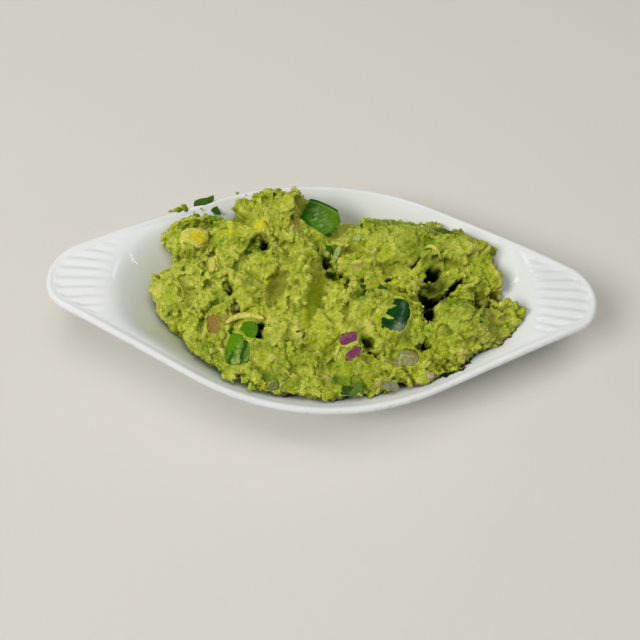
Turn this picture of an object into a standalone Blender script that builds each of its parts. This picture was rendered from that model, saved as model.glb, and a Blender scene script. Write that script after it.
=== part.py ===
"""Guacamole heaped in an oval porcelain rarebit dish with two fluted handles.

The dish is one shell: an eye-shaped outline, a flat fluted handle at each end, a soft-edged well
and a ring foot. The guacamole is one solid out to its uneven outline. It follows the well from
below and has a pocket for each larger piece of pepper, onion and avocado that sits in it.

Lengths are in millimetres and angles in degrees until a mesh is made, in metres. +Z is up, the
origin is the centre of the foot on the plane that it stands on, and the handles point along X.
"""

import math

import bmesh
import bpy
import numpy as np
from mathutils import Matrix, Vector, noise
from mathutils.geometry import delaunay_2d_cdt

MM = 0.001
CLEARANCE = 0.3
SEAT_CLEARANCE = 0.4

# Ovals seen from above: half length, half width, radius of the tips, radius of the sides.
OUTLINE = (129.0, 60.6, 18.5, 125.0)
WELL_MOUTH = (96.0, 57.0, 32.0, 118.0)
WELL_FLOOR = (60.0, 32.0, 22.0, 80.0)
FOOT = (53.0, 27.5, 20.0, 66.0)

# Dish heights, thicknesses and softness of the well's two bends, as shares of the wall's width.
RIM_HEIGHT = 38.0
HANDLE_LIFT = 4.0
HANDLE_ROOT = 98.0
FLOOR_HEIGHT = 5.0
WALL = 4.2
SIDE_LIP_SOFTNESS = 0.10
END_LIP_SOFTNESS = 0.20
FLOOR_SOFTNESS = 0.22
BEAD_WIDTH = 4.2
FOOT_RING_WIDTH = 4.0
FOOT_RECESS = 1.2

# Flutes: shallow grooves that fan out over each handle.
FLUTES = 11
FLUTE_ANGLE = 2.56
FLUTE_DEPTH = 0.8
FLUTE_START = 98.0

SHARP_EDGE = 32.0
SIDE_COLUMNS = 21

# Rows of the meshes: shares of the way down the well's wall, a share of the floor's reach, and
# shares of the heap's reach, near its edge.
WALL_ROWS = (0.15, 0.33, 0.55, 0.8, 1.05)
FLOOR_ROW = 0.55
SIDE_ROWS = (0.992, 0.965, 0.925)

# The heap's level away from any hump, and its humps and hollows:
# name, centre x and y, spread in x and y, height.
HEAP_LEVEL = 45.0
HEAP_FORMS = (
    ("left peak", -29.0, 34.0, 21.0, 15.0, 15.0),
    ("left shoulder", -52.0, 0.0, 20.0, 18.0, 2.0),
    ("left back lump", -66.0, 24.0, 10.0, 9.0, 4.0),
    ("smooth hollow", -24.0, 3.0, 9.0, 7.0, -3.0),
    ("middle ridge", -8.0, -3.0, 6.5, 15.0, 7.0),
    ("back valley", 6.0, 38.0, 9.0, 13.0, -9.0),
    ("right peak", 42.0, 24.0, 22.0, 10.0, 9.0),
    ("right back lump", 70.0, 20.0, 11.0, 9.0, 9.0),
    ("front scoop", 27.0, -14.0, 17.0, 12.0, 3.0),
    ("right lobe", 67.0, -15.0, 14.0, 11.0, 5.0),
    ("left crease", 14.0, 6.0, 6.0, 3.0, -4.0),
    ("right crease", 32.0, 7.5, 6.5, 3.0, -5.0),
    ("sink hole", 52.5, 3.0, 6.5, 5.0, -14.0),
    ("slit", 49.0, -8.0, 3.0, 7.0, -6.0),
    ("front slope", 4.0, -42.0, 45.0, 14.0, -5.0),
)

# How far down the well's wall the heap's edge lies, 0 at the mouth and 1 at the floor, and the
# places where it lies lower or higher: direction, spread, change.
EDGE_FALL = 0.21
EDGE_FORMS = (
    ("left pocket", 186.0, 18.0, 0.23),
    ("left notch", 167.0, 5.0, 0.12),
    ("left back lump", 156.0, 8.0, -0.17),
    ("peak against the back wall", 122.0, 20.0, -0.12),
    ("back valley", 78.0, 14.0, 0.26),
    ("right back side", 50.0, 13.0, 0.16),
    ("right back lump", 19.0, 6.0, -0.12),
    ("right notch", 4.0, 4.0, 0.12),
    ("right tip", -7.0, 7.0, -0.16),
)

# Uneven surface: grain size and height of the coarse and the fine lumps.
COARSE_GRAIN, COARSE_HEIGHT = 12.0, 6.0
FINE_GRAIN, FINE_HEIGHT = 6.5, 4.5
EDGE_ROUNDING = 7.0
TOP_SPACING = 3.5

# Pieces in the heap: name, kind, size (wide, long, thick), bend radius, place x and y, height of
# its middle above the surface, turn and two tilts in degrees, and whether those start from the
# surface or from level.
PIECES = (
    ("pepper_back", "pepper", (15.0, 16.0, 4.0), 15.0, (-3.5, 33.0), 2.0, (-18, 8, 4), "level"),
    ("pepper_dark", "pepper_skin", (11.0, 15.0, 4.2), 9.0, (34.0, -16.0), 0.8, (-12, 6, 0), "surface"),
    ("pepper_front", "pepper", (11.5, 10.5, 3.6), 10.0, (-33.0, -26.0), 0.6, (14, 10, 0), "surface"),
    ("pepper_lower", "pepper", (8.5, 9.0, 3.2), 9.0, (-38.5, -36.9), 0.4, (-24, 4, 0), "surface"),
    ("onion_red_upper", "onion_red", (8.2, 6.0, 3.6), 16.0, (12.5, -27.0), 0.7, (20, 4, 0), "surface"),
    ("onion_red_lower", "onion_red", (7.6, 6.0, 3.6), 16.0, (14.8, -34.0), 0.7, (28, 4, 0), "surface"),
    ("onion_pale", "onion_pale", (11.5, 8.0, 3.0), 18.0, (39.0, -35.5), 0.5, (-8, 0, 0), "surface"),
    ("onion_tan", "onion_tan", (6.0, 9.5, 3.0), 14.0, (-47.5, -24.0), 0.6, (12, 0, 8), "surface"),
)
AVOCADO = ("avocado_chunk", (-60.5, 17.0), (11.0, 8.5, 7.0), 1.2)

COLOURS = {
    "porcelain": ((0.86, 0.87, 0.87), 0.12),
    "mash": ((0.28, 0.40, 0.05), 0.45),
    "pepper": ((0.10, 0.30, 0.04), 0.35),
    "pepper_skin": ((0.01, 0.09, 0.02), 0.18),
    "onion_red": ((0.33, 0.09, 0.17), 0.35),
    "onion_pale": ((0.50, 0.50, 0.22), 0.30),
    "onion_tan": ((0.42, 0.29, 0.16), 0.40),
    "avocado": ((0.62, 0.56, 0.10), 0.40),
}


def oval_radius(angle, half_length, half_width, tip_radius, side_radius):
    """Distance from the centre to an oval, for angles in radians.

    The oval has an arc at each tip and along each side, joined by their common tangents.
    """
    across, along = np.abs(np.sin(angle)), np.abs(np.cos(angle))
    tip = half_length - tip_radius
    side = half_width - side_radius
    lean = math.atan2(-side, tip) + math.acos((side_radius - tip_radius) / math.hypot(tip, side))
    tip_end = math.atan2(tip_radius * math.sin(lean), tip + tip_radius * math.cos(lean))
    side_start = math.atan2(side + side_radius * math.sin(lean), side_radius * math.cos(lean))
    bearing = np.arctan2(across, along)
    on_tip = tip * along + np.sqrt(np.maximum(tip_radius**2 - (tip * across) ** 2, 0))
    on_side = side * across + np.sqrt(side_radius**2 - (side * along) ** 2)
    on_tangent = (tip * math.cos(lean) + tip_radius) / np.cos(lean - np.minimum(bearing, side_start))
    return np.where(bearing < tip_end, on_tip, np.where(bearing > side_start, on_side, on_tangent))


def inset(oval, distance):
    """The oval that runs a given distance inside another."""
    return tuple(size - distance for size in oval)


def rim_height(x):
    """The rim rises to the root of each handle and droops a little towards its tip."""
    share = (x / HANDLE_ROOT) ** 2
    return RIM_HEIGHT + HANDLE_LIFT * (2 * share - share**2)


def well_fall(share, softness):
    """Share of the well's depth for a share of the wall's width: a slope with both ends rounded."""
    from_lip = (share + np.hypot(share, softness)) / 2
    fall = (from_lip + 1 - np.hypot(from_lip - 1, FLOOR_SOFTNESS)) / 2
    at_rim = (1 - math.hypot(1, FLOOR_SOFTNESS)) / 2
    return (fall - at_rim) / (1 - at_rim)


def dish_top(angle, radius):
    """Height of the dish's upper surface, without its bead and flutes."""
    mouth = oval_radius(angle, *WELL_MOUTH)
    floor = oval_radius(angle, *WELL_FLOOR)
    towards_end = np.cos(angle) ** 4
    softness = SIDE_LIP_SOFTNESS + (END_LIP_SOFTNESS - SIDE_LIP_SOFTNESS) * towards_end
    fall = well_fall((mouth - radius) / (mouth - floor), softness)
    rim = rim_height(radius * np.cos(angle))
    return rim + (FLOOR_HEIGHT - rim) * fall


def well_bottom():
    """Height of the middle of the well's floor."""
    return float(dish_top(np.array(0.0), np.array(0.0)))


def on_wall(angle, share):
    """Radius at a share of the way down the well's wall."""
    mouth = oval_radius(angle, *WELL_MOUTH)
    return mouth + share * (oval_radius(angle, *WELL_FLOOR) - mouth)


def slope(angle, radius):
    """Steepness of the upper surface, outwards."""
    step = 0.5
    return (dish_top(angle, radius + step) - dish_top(angle, radius - step)) / (2 * step)


def offset_surface(angle, radius, distance):
    """Radius and height of a point at a distance above the upper surface, square to it."""
    rise = slope(angle, radius)
    length = np.hypot(1, rise)
    return radius - distance * rise / length, dish_top(angle, radius) + distance / length


def flute_depth(angle, radius):
    """Depth of the fan of grooves, which fades out at the well and at the bead."""
    from_handle = np.abs(np.degrees(np.arctan(np.tan(angle))))
    wave = (1 - np.cos(2 * np.pi * (from_handle / FLUTE_ANGLE + 0.5 * FLUTES % 1))) / 2
    inner = np.clip((radius - FLUTE_START) / 3, 0, 1)
    outer = np.clip((oval_radius(angle, *inset(OUTLINE, BEAD_WIDTH)) - radius) / 2, 0, 1)
    across = np.clip((FLUTES / 2 * FLUTE_ANGLE - from_handle) / FLUTE_ANGLE + 0.5, 0, 1)
    return FLUTE_DEPTH * wave * inner * outer * across


def dish_columns():
    """Directions of the dish's columns: two to a flute on the handles, wider along the sides."""
    half_handle = FLUTES * FLUTE_ANGLE / 2
    handle = np.linspace(-half_handle, half_handle, 2 * FLUTES + 1)[:-1]
    side = np.linspace(half_handle, 180 - half_handle, SIDE_COLUMNS + 1)[:-1]
    half_turn = np.concatenate([handle, side])
    return np.radians(np.concatenate([half_turn, half_turn + 180]))


def ring(angle, radius, height):
    """One row of a loft: points at these angles, radii and heights."""
    points = np.broadcast_arrays(radius * np.cos(angle), radius * np.sin(angle), height)
    return np.stack(points, axis=-1)


def skin_rings(mesh, rings):
    """Joins rings of equal length with quads, and returns their rows of vertices."""
    rows = [[mesh.verts.new(Vector(point) * MM) for point in row] for row in rings]
    for low, high in zip(rows, rows[1:]):
        for i in range(len(low)):
            j = (i + 1) % len(low)
            mesh.faces.new((low[i], low[j], high[j], high[i]))
    return rows


def close_with_fan(mesh, row, centre, upwards):
    """Closes a ring with triangles to one centre point."""
    hub = mesh.verts.new(Vector(centre) * MM)
    for i in range(len(row)):
        j = (i + 1) % len(row)
        mesh.faces.new((row[i], row[j], hub) if upwards else (row[j], row[i], hub))


def close_with_surface(mesh, row, spacing, height_at):
    """Closes a ring with even triangles whose heights follow a function of x and y."""
    edge = [Vector((vertex.co.x, vertex.co.y)) / MM for vertex in row]
    reach_x, reach_y = (max(abs(point[axis]) for point in edge) for axis in (0, 1))
    inside = []
    for j in range(int(-reach_y / (0.866 * spacing)), int(reach_y / (0.866 * spacing)) + 1):
        for i in range(int(-reach_x / spacing) - 1, int(reach_x / spacing) + 2):
            point = Vector(((i + 0.5 * (j % 2)) * spacing, j * 0.866 * spacing))
            nearest = min(edge, key=lambda at: (at - point).length)
            room = (nearest - point).length
            if room > 0.6 * spacing and point.length < nearest.length:
                inside.append(point)
    loop = [(i, (i + 1) % len(edge)) for i in range(len(edge))]
    points, _, faces, origins, _, _ = delaunay_2d_cdt(edge + inside, loop, [], 1, 1e-4)
    heights = height_at(*np.array(points).T)
    vertices = []
    for point, origin, height in zip(points, origins, heights):
        on_edge = [i for i in origin if i < len(edge)]
        vertices.append(row[on_edge[0]] if on_edge else mesh.verts.new(Vector((*point, height)) * MM))
    for face in faces:
        mesh.faces.new([vertices[i] for i in face])


def finished(name, mesh):
    """Turns an edited mesh into an object."""
    data = bpy.data.meshes.new(name)
    mesh.to_mesh(data)
    mesh.free()
    return bpy.data.objects.new(name, data)


def make_dish():
    """The porcelain shell, as rings from the foot's middle over the rim to the floor's middle."""
    angle = dish_columns()
    foot = oval_radius(angle, *FOOT)
    rings = [
        ring(angle, foot - FOOT_RING_WIDTH - FOOT_RECESS, FOOT_RECESS),
        ring(angle, foot - FOOT_RING_WIDTH, 0),
        ring(angle, foot, 0),
        ring(angle, foot + 0.6, dish_top(angle, foot) - WALL),
    ]
    for share in (0.92, 0.66, 0.4, 0.14):
        rings.append(ring(angle, *offset_surface(angle, on_wall(angle, share), -WALL)))
    outline = oval_radius(angle, *OUTLINE)
    under_lip = on_wall(angle, 0.14) + WALL
    for share in (0.35, 0.85):
        radius = under_lip + share * (outline - 1.4 - under_lip)
        rings.append(ring(angle, radius, rim_height(radius * np.cos(angle)) - WALL))
    for distance, rise in ((0.4, -2.9), (0.0, -1.6), (0.6, 0.0), (2.0, 0.5), (BEAD_WIDTH, 0.0)):
        radius = oval_radius(angle, *inset(OUTLINE, distance))
        rings.append(ring(angle, radius, dish_top(angle, radius) + rise))
    inside_bead, below_lip = radius, on_wall(angle, WALL_ROWS[0])
    for share in (0.1, 0.42, 0.7, 0.86):
        radius = inside_bead + share * (below_lip - inside_bead)
        rings.append(ring(angle, radius, dish_top(angle, radius) - flute_depth(angle, radius)))
    for share in WALL_ROWS:
        radius = on_wall(angle, share)
        rings.append(ring(angle, radius, dish_top(angle, radius)))
    radius = FLOOR_ROW * oval_radius(angle, *WELL_FLOOR)
    rings.append(ring(angle, radius, dish_top(angle, radius)))
    mesh = bmesh.new()
    rows = skin_rings(mesh, rings)
    close_with_fan(mesh, rows[0], (0, 0, FOOT_RECESS), upwards=False)
    close_with_fan(mesh, rows[-1], (0, 0, well_bottom()), upwards=True)
    return finished("dish", mesh)


def lumps(x, y, grain, seed):
    """Smooth noise in the range -0.5 to 0.5 with lumps of a given size."""
    at = zip(np.ravel(x) / grain, np.ravel(y) / grain)
    values = [noise.noise(Vector((u, v, seed))) for u, v in at]
    return np.reshape(values, np.shape(x)) / 1.5


def heap_surface(x, y):
    """Height of the heap, before its edge is rounded down to the wall."""
    height = np.full(np.shape(x), HEAP_LEVEL)
    for _, centre_x, centre_y, spread_x, spread_y, rise in HEAP_FORMS:
        distance = ((x - centre_x) / spread_x) ** 2 + ((y - centre_y) / spread_y) ** 2
        height = height + rise * np.exp(-distance)
    height += COARSE_HEIGHT * lumps(x, y, COARSE_GRAIN, 3.0)
    return height + FINE_HEIGHT * lumps(x, y, FINE_GRAIN, 8.0)


def edge_fall(angle):
    """How far down the well's wall the heap's edge lies in a direction."""
    share = np.full(np.shape(angle), EDGE_FALL)
    for _, direction, spread, change in EDGE_FORMS:
        away = (np.degrees(angle) - direction + 180) % 360 - 180
        share = share + change * np.exp(-((away / spread) ** 2))
    return share


def heap_height(x, y):
    """Height of the heap's surface with its edge rounded down to the wall."""
    angle = np.arctan2(y, x)
    edge = on_wall(angle, edge_fall(angle))
    edge, foot = offset_surface(angle, edge, SEAT_CLEARANCE)
    share = np.clip(np.hypot(x, y) / edge, 0, 1)
    return foot + (heap_surface(x, y) - foot) * np.sqrt(1 - share**EDGE_ROUNDING)


def above_wall_facets(angle, share, distance):
    """Radius and height at a distance above the dish's flat facets, between two of its rows."""
    rows = [offset_surface(angle, on_wall(angle, row), distance) for row in WALL_ROWS]
    radii, heights = (np.array(values) for values in zip(*rows))
    low = np.clip(np.searchsorted(WALL_ROWS, share, side="right") - 1, 0, len(WALL_ROWS) - 2)
    column = np.arange(len(angle))
    ends = np.array(WALL_ROWS)
    part = (share - ends[low]) / (ends[low + 1] - ends[low])
    return tuple(
        values[low, column] + part * (values[low + 1, column] - values[low, column])
        for values in (radii, heights)
    )


def make_heap():
    """The guacamole, as rings from below its middle, up the wall and over the top."""
    angle = dish_columns()
    fall = edge_fall(angle)
    radius = FLOOR_ROW * oval_radius(angle, *WELL_FLOOR)
    rings = [ring(angle, *offset_surface(angle, radius, SEAT_CLEARANCE))]
    for above_edge, row in enumerate(reversed(WALL_ROWS)):
        share = np.maximum(row, fall + 0.02 * (len(WALL_ROWS) - above_edge))
        rings.append(ring(angle, *above_wall_facets(angle, share, SEAT_CLEARANCE)))
    on_facets = above_wall_facets(angle, np.maximum(fall, WALL_ROWS[0]), SEAT_CLEARANCE)
    on_lip = offset_surface(angle, on_wall(angle, fall), SEAT_CLEARANCE)
    rings.append(ring(angle, *np.where(fall < WALL_ROWS[0], on_lip, on_facets)))
    edge = np.hypot(rings[-1][:, 0], rings[-1][:, 1])
    for share in SIDE_ROWS:
        x, y = share * edge * np.cos(angle), share * edge * np.sin(angle)
        rings.append(np.stack([x, y, heap_height(x, y)], axis=-1))
    mesh = bmesh.new()
    rows = skin_rings(mesh, rings)
    close_with_fan(mesh, rows[0], (0, 0, well_bottom() + SEAT_CLEARANCE), upwards=False)
    close_with_surface(mesh, rows[-1], TOP_SPACING, heap_height)
    return finished("guacamole", mesh)


def place_on_heap(x, y, lift, turns, start):
    """Placement on the heap at x, y: level or square to its surface, then tilted and turned."""
    reach = 4.0
    east, west, north, south = (
        float(heap_height(np.array(x + u), np.array(y + v)))
        for u, v in ((reach, 0), (-reach, 0), (0, reach), (0, -reach))
    )
    normal = Vector((west - east, south - north, 2 * reach)).normalized()
    place = Vector((x, y, (east + west + north + south) / 4)) + normal * lift
    up = Vector((0, 0, 1))
    lean = up.rotation_difference(normal if start == "surface" else up).to_matrix().to_4x4()
    turn, pitch, roll = (math.radians(angle) for angle in turns)
    tilt = Matrix.Rotation(pitch, 4, "X") @ Matrix.Rotation(roll, 4, "Y")
    return Matrix.Translation(place * MM) @ lean @ tilt @ Matrix.Rotation(turn, 4, "Z")


def bent_slab(name, size, bend_radius, grow):
    """A slab with rounded edges whose width curves over a radius, as a piece cut from a shell.

    Its middle is at the origin and its convex side looks along +Z.
    """
    wide, long, thick = (length + 2 * grow for length in size)
    mesh = bmesh.new()
    columns, rows = 4, 2
    arc = wide / bend_radius
    grid = []
    for j in range(rows + 1):
        v = long * (j / rows - 0.5)
        bends = [arc * (i / columns - 0.5) for i in range(columns + 1)]
        grid.append([mesh.verts.new(Vector((math.sin(b) * bend_radius, v,
                                            (math.cos(b) - 1) * bend_radius)) * MM) for b in bends])
    for low, high in zip(grid, grid[1:]):
        for i in range(columns):
            mesh.faces.new((low[i], low[i + 1], high[i + 1], high[i]))
    slab = finished(name, mesh)
    shell = slab.modifiers.new("Thickness", "SOLIDIFY")
    shell.thickness = thick * MM
    shell.offset = 0
    edge = slab.modifiers.new("Rounded edges", "BEVEL")
    edge.width = 0.22 * size[2] * MM
    edge.segments = 1
    edge.limit_method = "ANGLE"
    return slab


def lump(name, size, grow):
    """A worn chunk: a sphere pushed in and out by smooth noise."""
    mesh = bmesh.new()
    bmesh.ops.create_icosphere(mesh, subdivisions=2, radius=1)
    for vertex in mesh.verts:
        push = 1 + 0.35 * noise.noise(vertex.co * 1.3 + Vector((5.1, 2.2, 0.7)))
        vertex.co = Vector([push * c * (s / 2 + grow) * MM for c, s in zip(vertex.co, size)])
    return finished(name, mesh)


def material(name):
    """A plain surface of the colour and roughness that the piece has."""
    colour, roughness = COLOURS[name]
    made = bpy.data.materials.new(name)
    made.use_nodes = True
    shader = made.node_tree.nodes["Principled BSDF"]
    shader.inputs["Base Color"].default_value = (*colour, 1)
    shader.inputs["Roughness"].default_value = roughness
    return made


def add(piece, collection, finish):
    """Puts a piece in its collection, smooth-shaded and with its finish."""
    collection.objects.link(piece)
    piece.data.shade_smooth()
    piece.data.set_sharp_from_angle(angle=math.radians(SHARP_EDGE))
    piece.data.materials.append(finish)
    return piece


def cut_pocket(heap, cutter, cutters):
    """Takes a cutter's space out of the heap and keeps the cutter as a hidden guide."""
    cutters.objects.link(cutter)
    cutter.hide_render = True
    cutter.display_type = "WIRE"
    pocket = heap.modifiers.new(cutter.name, "BOOLEAN")
    pocket.operation = "DIFFERENCE"
    pocket.object = cutter


def main():
    for old in list(bpy.data.objects):
        bpy.data.objects.remove(old, do_unlink=True)
    parts = bpy.data.collections.new("Guacamole dish")
    cutters = bpy.data.collections.new("Cutters")
    for collection in (parts, cutters):
        bpy.context.scene.collection.children.link(collection)
    finishes = {name: material(name) for name in COLOURS}

    add(make_dish(), parts, finishes["porcelain"])
    heap = add(make_heap(), parts, finishes["mash"])
    for name, kind, size, bend_radius, (x, y), lift, turns, start in PIECES:
        place = place_on_heap(x, y, lift, turns, start)
        piece = add(bent_slab(name, size, bend_radius, 0), parts, finishes[kind])
        cutter = bent_slab(name + "_pocket", size, bend_radius, CLEARANCE)
        piece.matrix_world = cutter.matrix_world = place
        cut_pocket(heap, cutter, cutters)
    name, (x, y), size, lift = AVOCADO
    place = place_on_heap(x, y, lift, (0, 0, 0), "surface")
    chunk = add(lump(name, size, 0), parts, finishes["avocado"])
    cutter = lump(name + "_pocket", size, CLEARANCE)
    chunk.matrix_world = cutter.matrix_world = place
    cut_pocket(heap, cutter, cutters)


if __name__ == "__main__":
    main()
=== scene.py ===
"""Guacamole heaped in an oval porcelain rarebit dish: the finish and fine surface of every piece.

Lengths are in millimetres and angles in degrees until a mesh is made, in metres. +Z is up, the
origin is the centre of the dish's foot on the plane that it stands on, handles along X.
"""

import functools
import math

import bpy
import numpy as np
from mathutils import Matrix, Vector


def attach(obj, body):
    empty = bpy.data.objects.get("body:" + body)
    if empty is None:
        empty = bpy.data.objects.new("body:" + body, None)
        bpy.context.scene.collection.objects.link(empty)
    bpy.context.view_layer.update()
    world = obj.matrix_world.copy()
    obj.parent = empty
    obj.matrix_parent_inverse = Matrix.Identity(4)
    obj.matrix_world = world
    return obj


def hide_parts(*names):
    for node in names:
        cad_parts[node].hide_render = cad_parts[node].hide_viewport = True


bl_info = {
    "name": "Guacamole Dish",
    "version": (1, 0, 0),
    "blender": (4, 5, 0),
    "location": "3D View > Sidebar > Guacamole",
    "description": "Builds a rarebit dish of chunky guacamole with pepper, onion and cilantro",
    "category": "Add Mesh",
}

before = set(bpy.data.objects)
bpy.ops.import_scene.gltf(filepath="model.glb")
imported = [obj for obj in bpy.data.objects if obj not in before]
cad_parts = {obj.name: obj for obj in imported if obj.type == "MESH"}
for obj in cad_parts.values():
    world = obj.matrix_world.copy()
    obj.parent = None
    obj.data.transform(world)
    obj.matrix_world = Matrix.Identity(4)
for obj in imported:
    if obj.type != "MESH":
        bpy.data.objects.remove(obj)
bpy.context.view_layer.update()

MM = 0.001

# Ovals seen from above: half length, half width, radius of the tips, radius of the sides.
OUTLINE = (129.0, 60.6, 18.5, 125.0)
WELL_MOUTH = (96.0, 57.0, 32.0, 118.0)
WELL_FLOOR = (60.0, 32.0, 22.0, 80.0)
FOOT = (53.0, 27.5, 20.0, 66.0)

# Dish heights, thicknesses and softness of the well's two bends, as shares of the wall's width.
RIM_HEIGHT = 38.0
HANDLE_LIFT = 4.0
HANDLE_ROOT = 98.0
FLOOR_HEIGHT = 5.0
WALL = 4.2
SIDE_LIP_SOFTNESS = 0.10
END_LIP_SOFTNESS = 0.17
FLOOR_SOFTNESS = 0.22
BEAD_WIDTH = 4.2
BEAD_RISE = 0.5
FOOT_RING_WIDTH = 4.0
FOOT_RECESS = 1.2
FLUTES = 11
FLUTE_ANGLE = 2.56
FLUTE_START = 98.0

# The heap's level away from any hump, and its humps and hollows:
# name, centre x and y, spread in x and y, height.
HEAP_LEVEL = 45.0
HEAP_FORMS = (
    ("left peak", -29.0, 34.0, 21.0, 15.0, 15.0),
    ("left shoulder", -52.0, 0.0, 20.0, 18.0, 2.0),
    ("left back lump", -66.0, 24.0, 10.0, 9.0, 4.0),
    ("smooth hollow", -24.0, 3.0, 9.0, 7.0, -3.0),
    ("middle ridge", -8.0, -3.0, 6.5, 15.0, 7.0),
    ("back valley", 6.0, 38.0, 9.0, 13.0, -9.0),
    ("right peak", 42.0, 24.0, 22.0, 10.0, 9.0),
    ("right back lump", 70.0, 20.0, 11.0, 9.0, 9.0),
    ("front scoop", 27.0, -14.0, 17.0, 12.0, 3.0),
    ("right lobe", 67.0, -15.0, 14.0, 11.0, 5.0),
    ("left crease", 14.0, 6.0, 6.0, 3.0, -4.0),
    ("right crease", 32.0, 7.5, 6.5, 3.0, -5.0),
    ("sink hole", 52.5, 3.0, 6.5, 5.0, -14.0),
    ("slit", 49.0, -8.0, 3.0, 7.0, -6.0),
    ("front slope", 4.0, -42.0, 45.0, 14.0, -5.0),
)

# The share of the wall at which the heap's edge lies, where it runs lower or higher: name,
# direction, spread, change of that share, and the least and the greatest share allowed.
EDGE_FALL = 0.21
EDGE_FORMS = (
    ("left pocket", 186.0, 18.0, 0.23),
    ("left notch", 167.0, 5.0, 0.12),
    ("left back lump", 156.0, 8.0, -0.17),
    ("peak against the back wall", 122.0, 20.0, -0.12),
    ("back valley", 78.0, 14.0, 0.26),
    ("right back side", 50.0, 13.0, 0.16),
    ("right back lump", 19.0, 6.0, -0.12),
    ("right notch", 4.0, 4.0, 0.12),
    ("right tip", -7.0, 7.0, -0.16),
)
EDGE_LIMITS = (0.03, 0.55)

# Power by which the heap rounds down to its edge, and how far it stays off the dish.
EDGE_ROUNDING = 7.0
SEAT_CLEARANCE = 0.4

# How many times the heights of the spoon's forms are taken.
SPOON_RELIEF = 1.7

# Where the grid of the mash turns in under the heap, how far out its body reaches, how much less
# far at a gap, and how high the turn is above the wall.
TUCK = 0.95
BODY_REACH = 0.985
GAP_REACH = 0.07
EDGE_LIFT = 1.6

# The mash under its edge: first and last share of the wall, rows, gap above the dish, least drop.
UNDERSIDE_SHARES = (0.6, 1.1)
UNDERSIDE_ROWS = 5
UNDERSIDE_GAP = 0.2
UNDERSIDE_DROP = 0.05

# Least gap between the dish and the mash's relief, and between the dish and loose crumbs.
MASH_GAP = 0.15
CRUMB_GAP = 0.1

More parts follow.
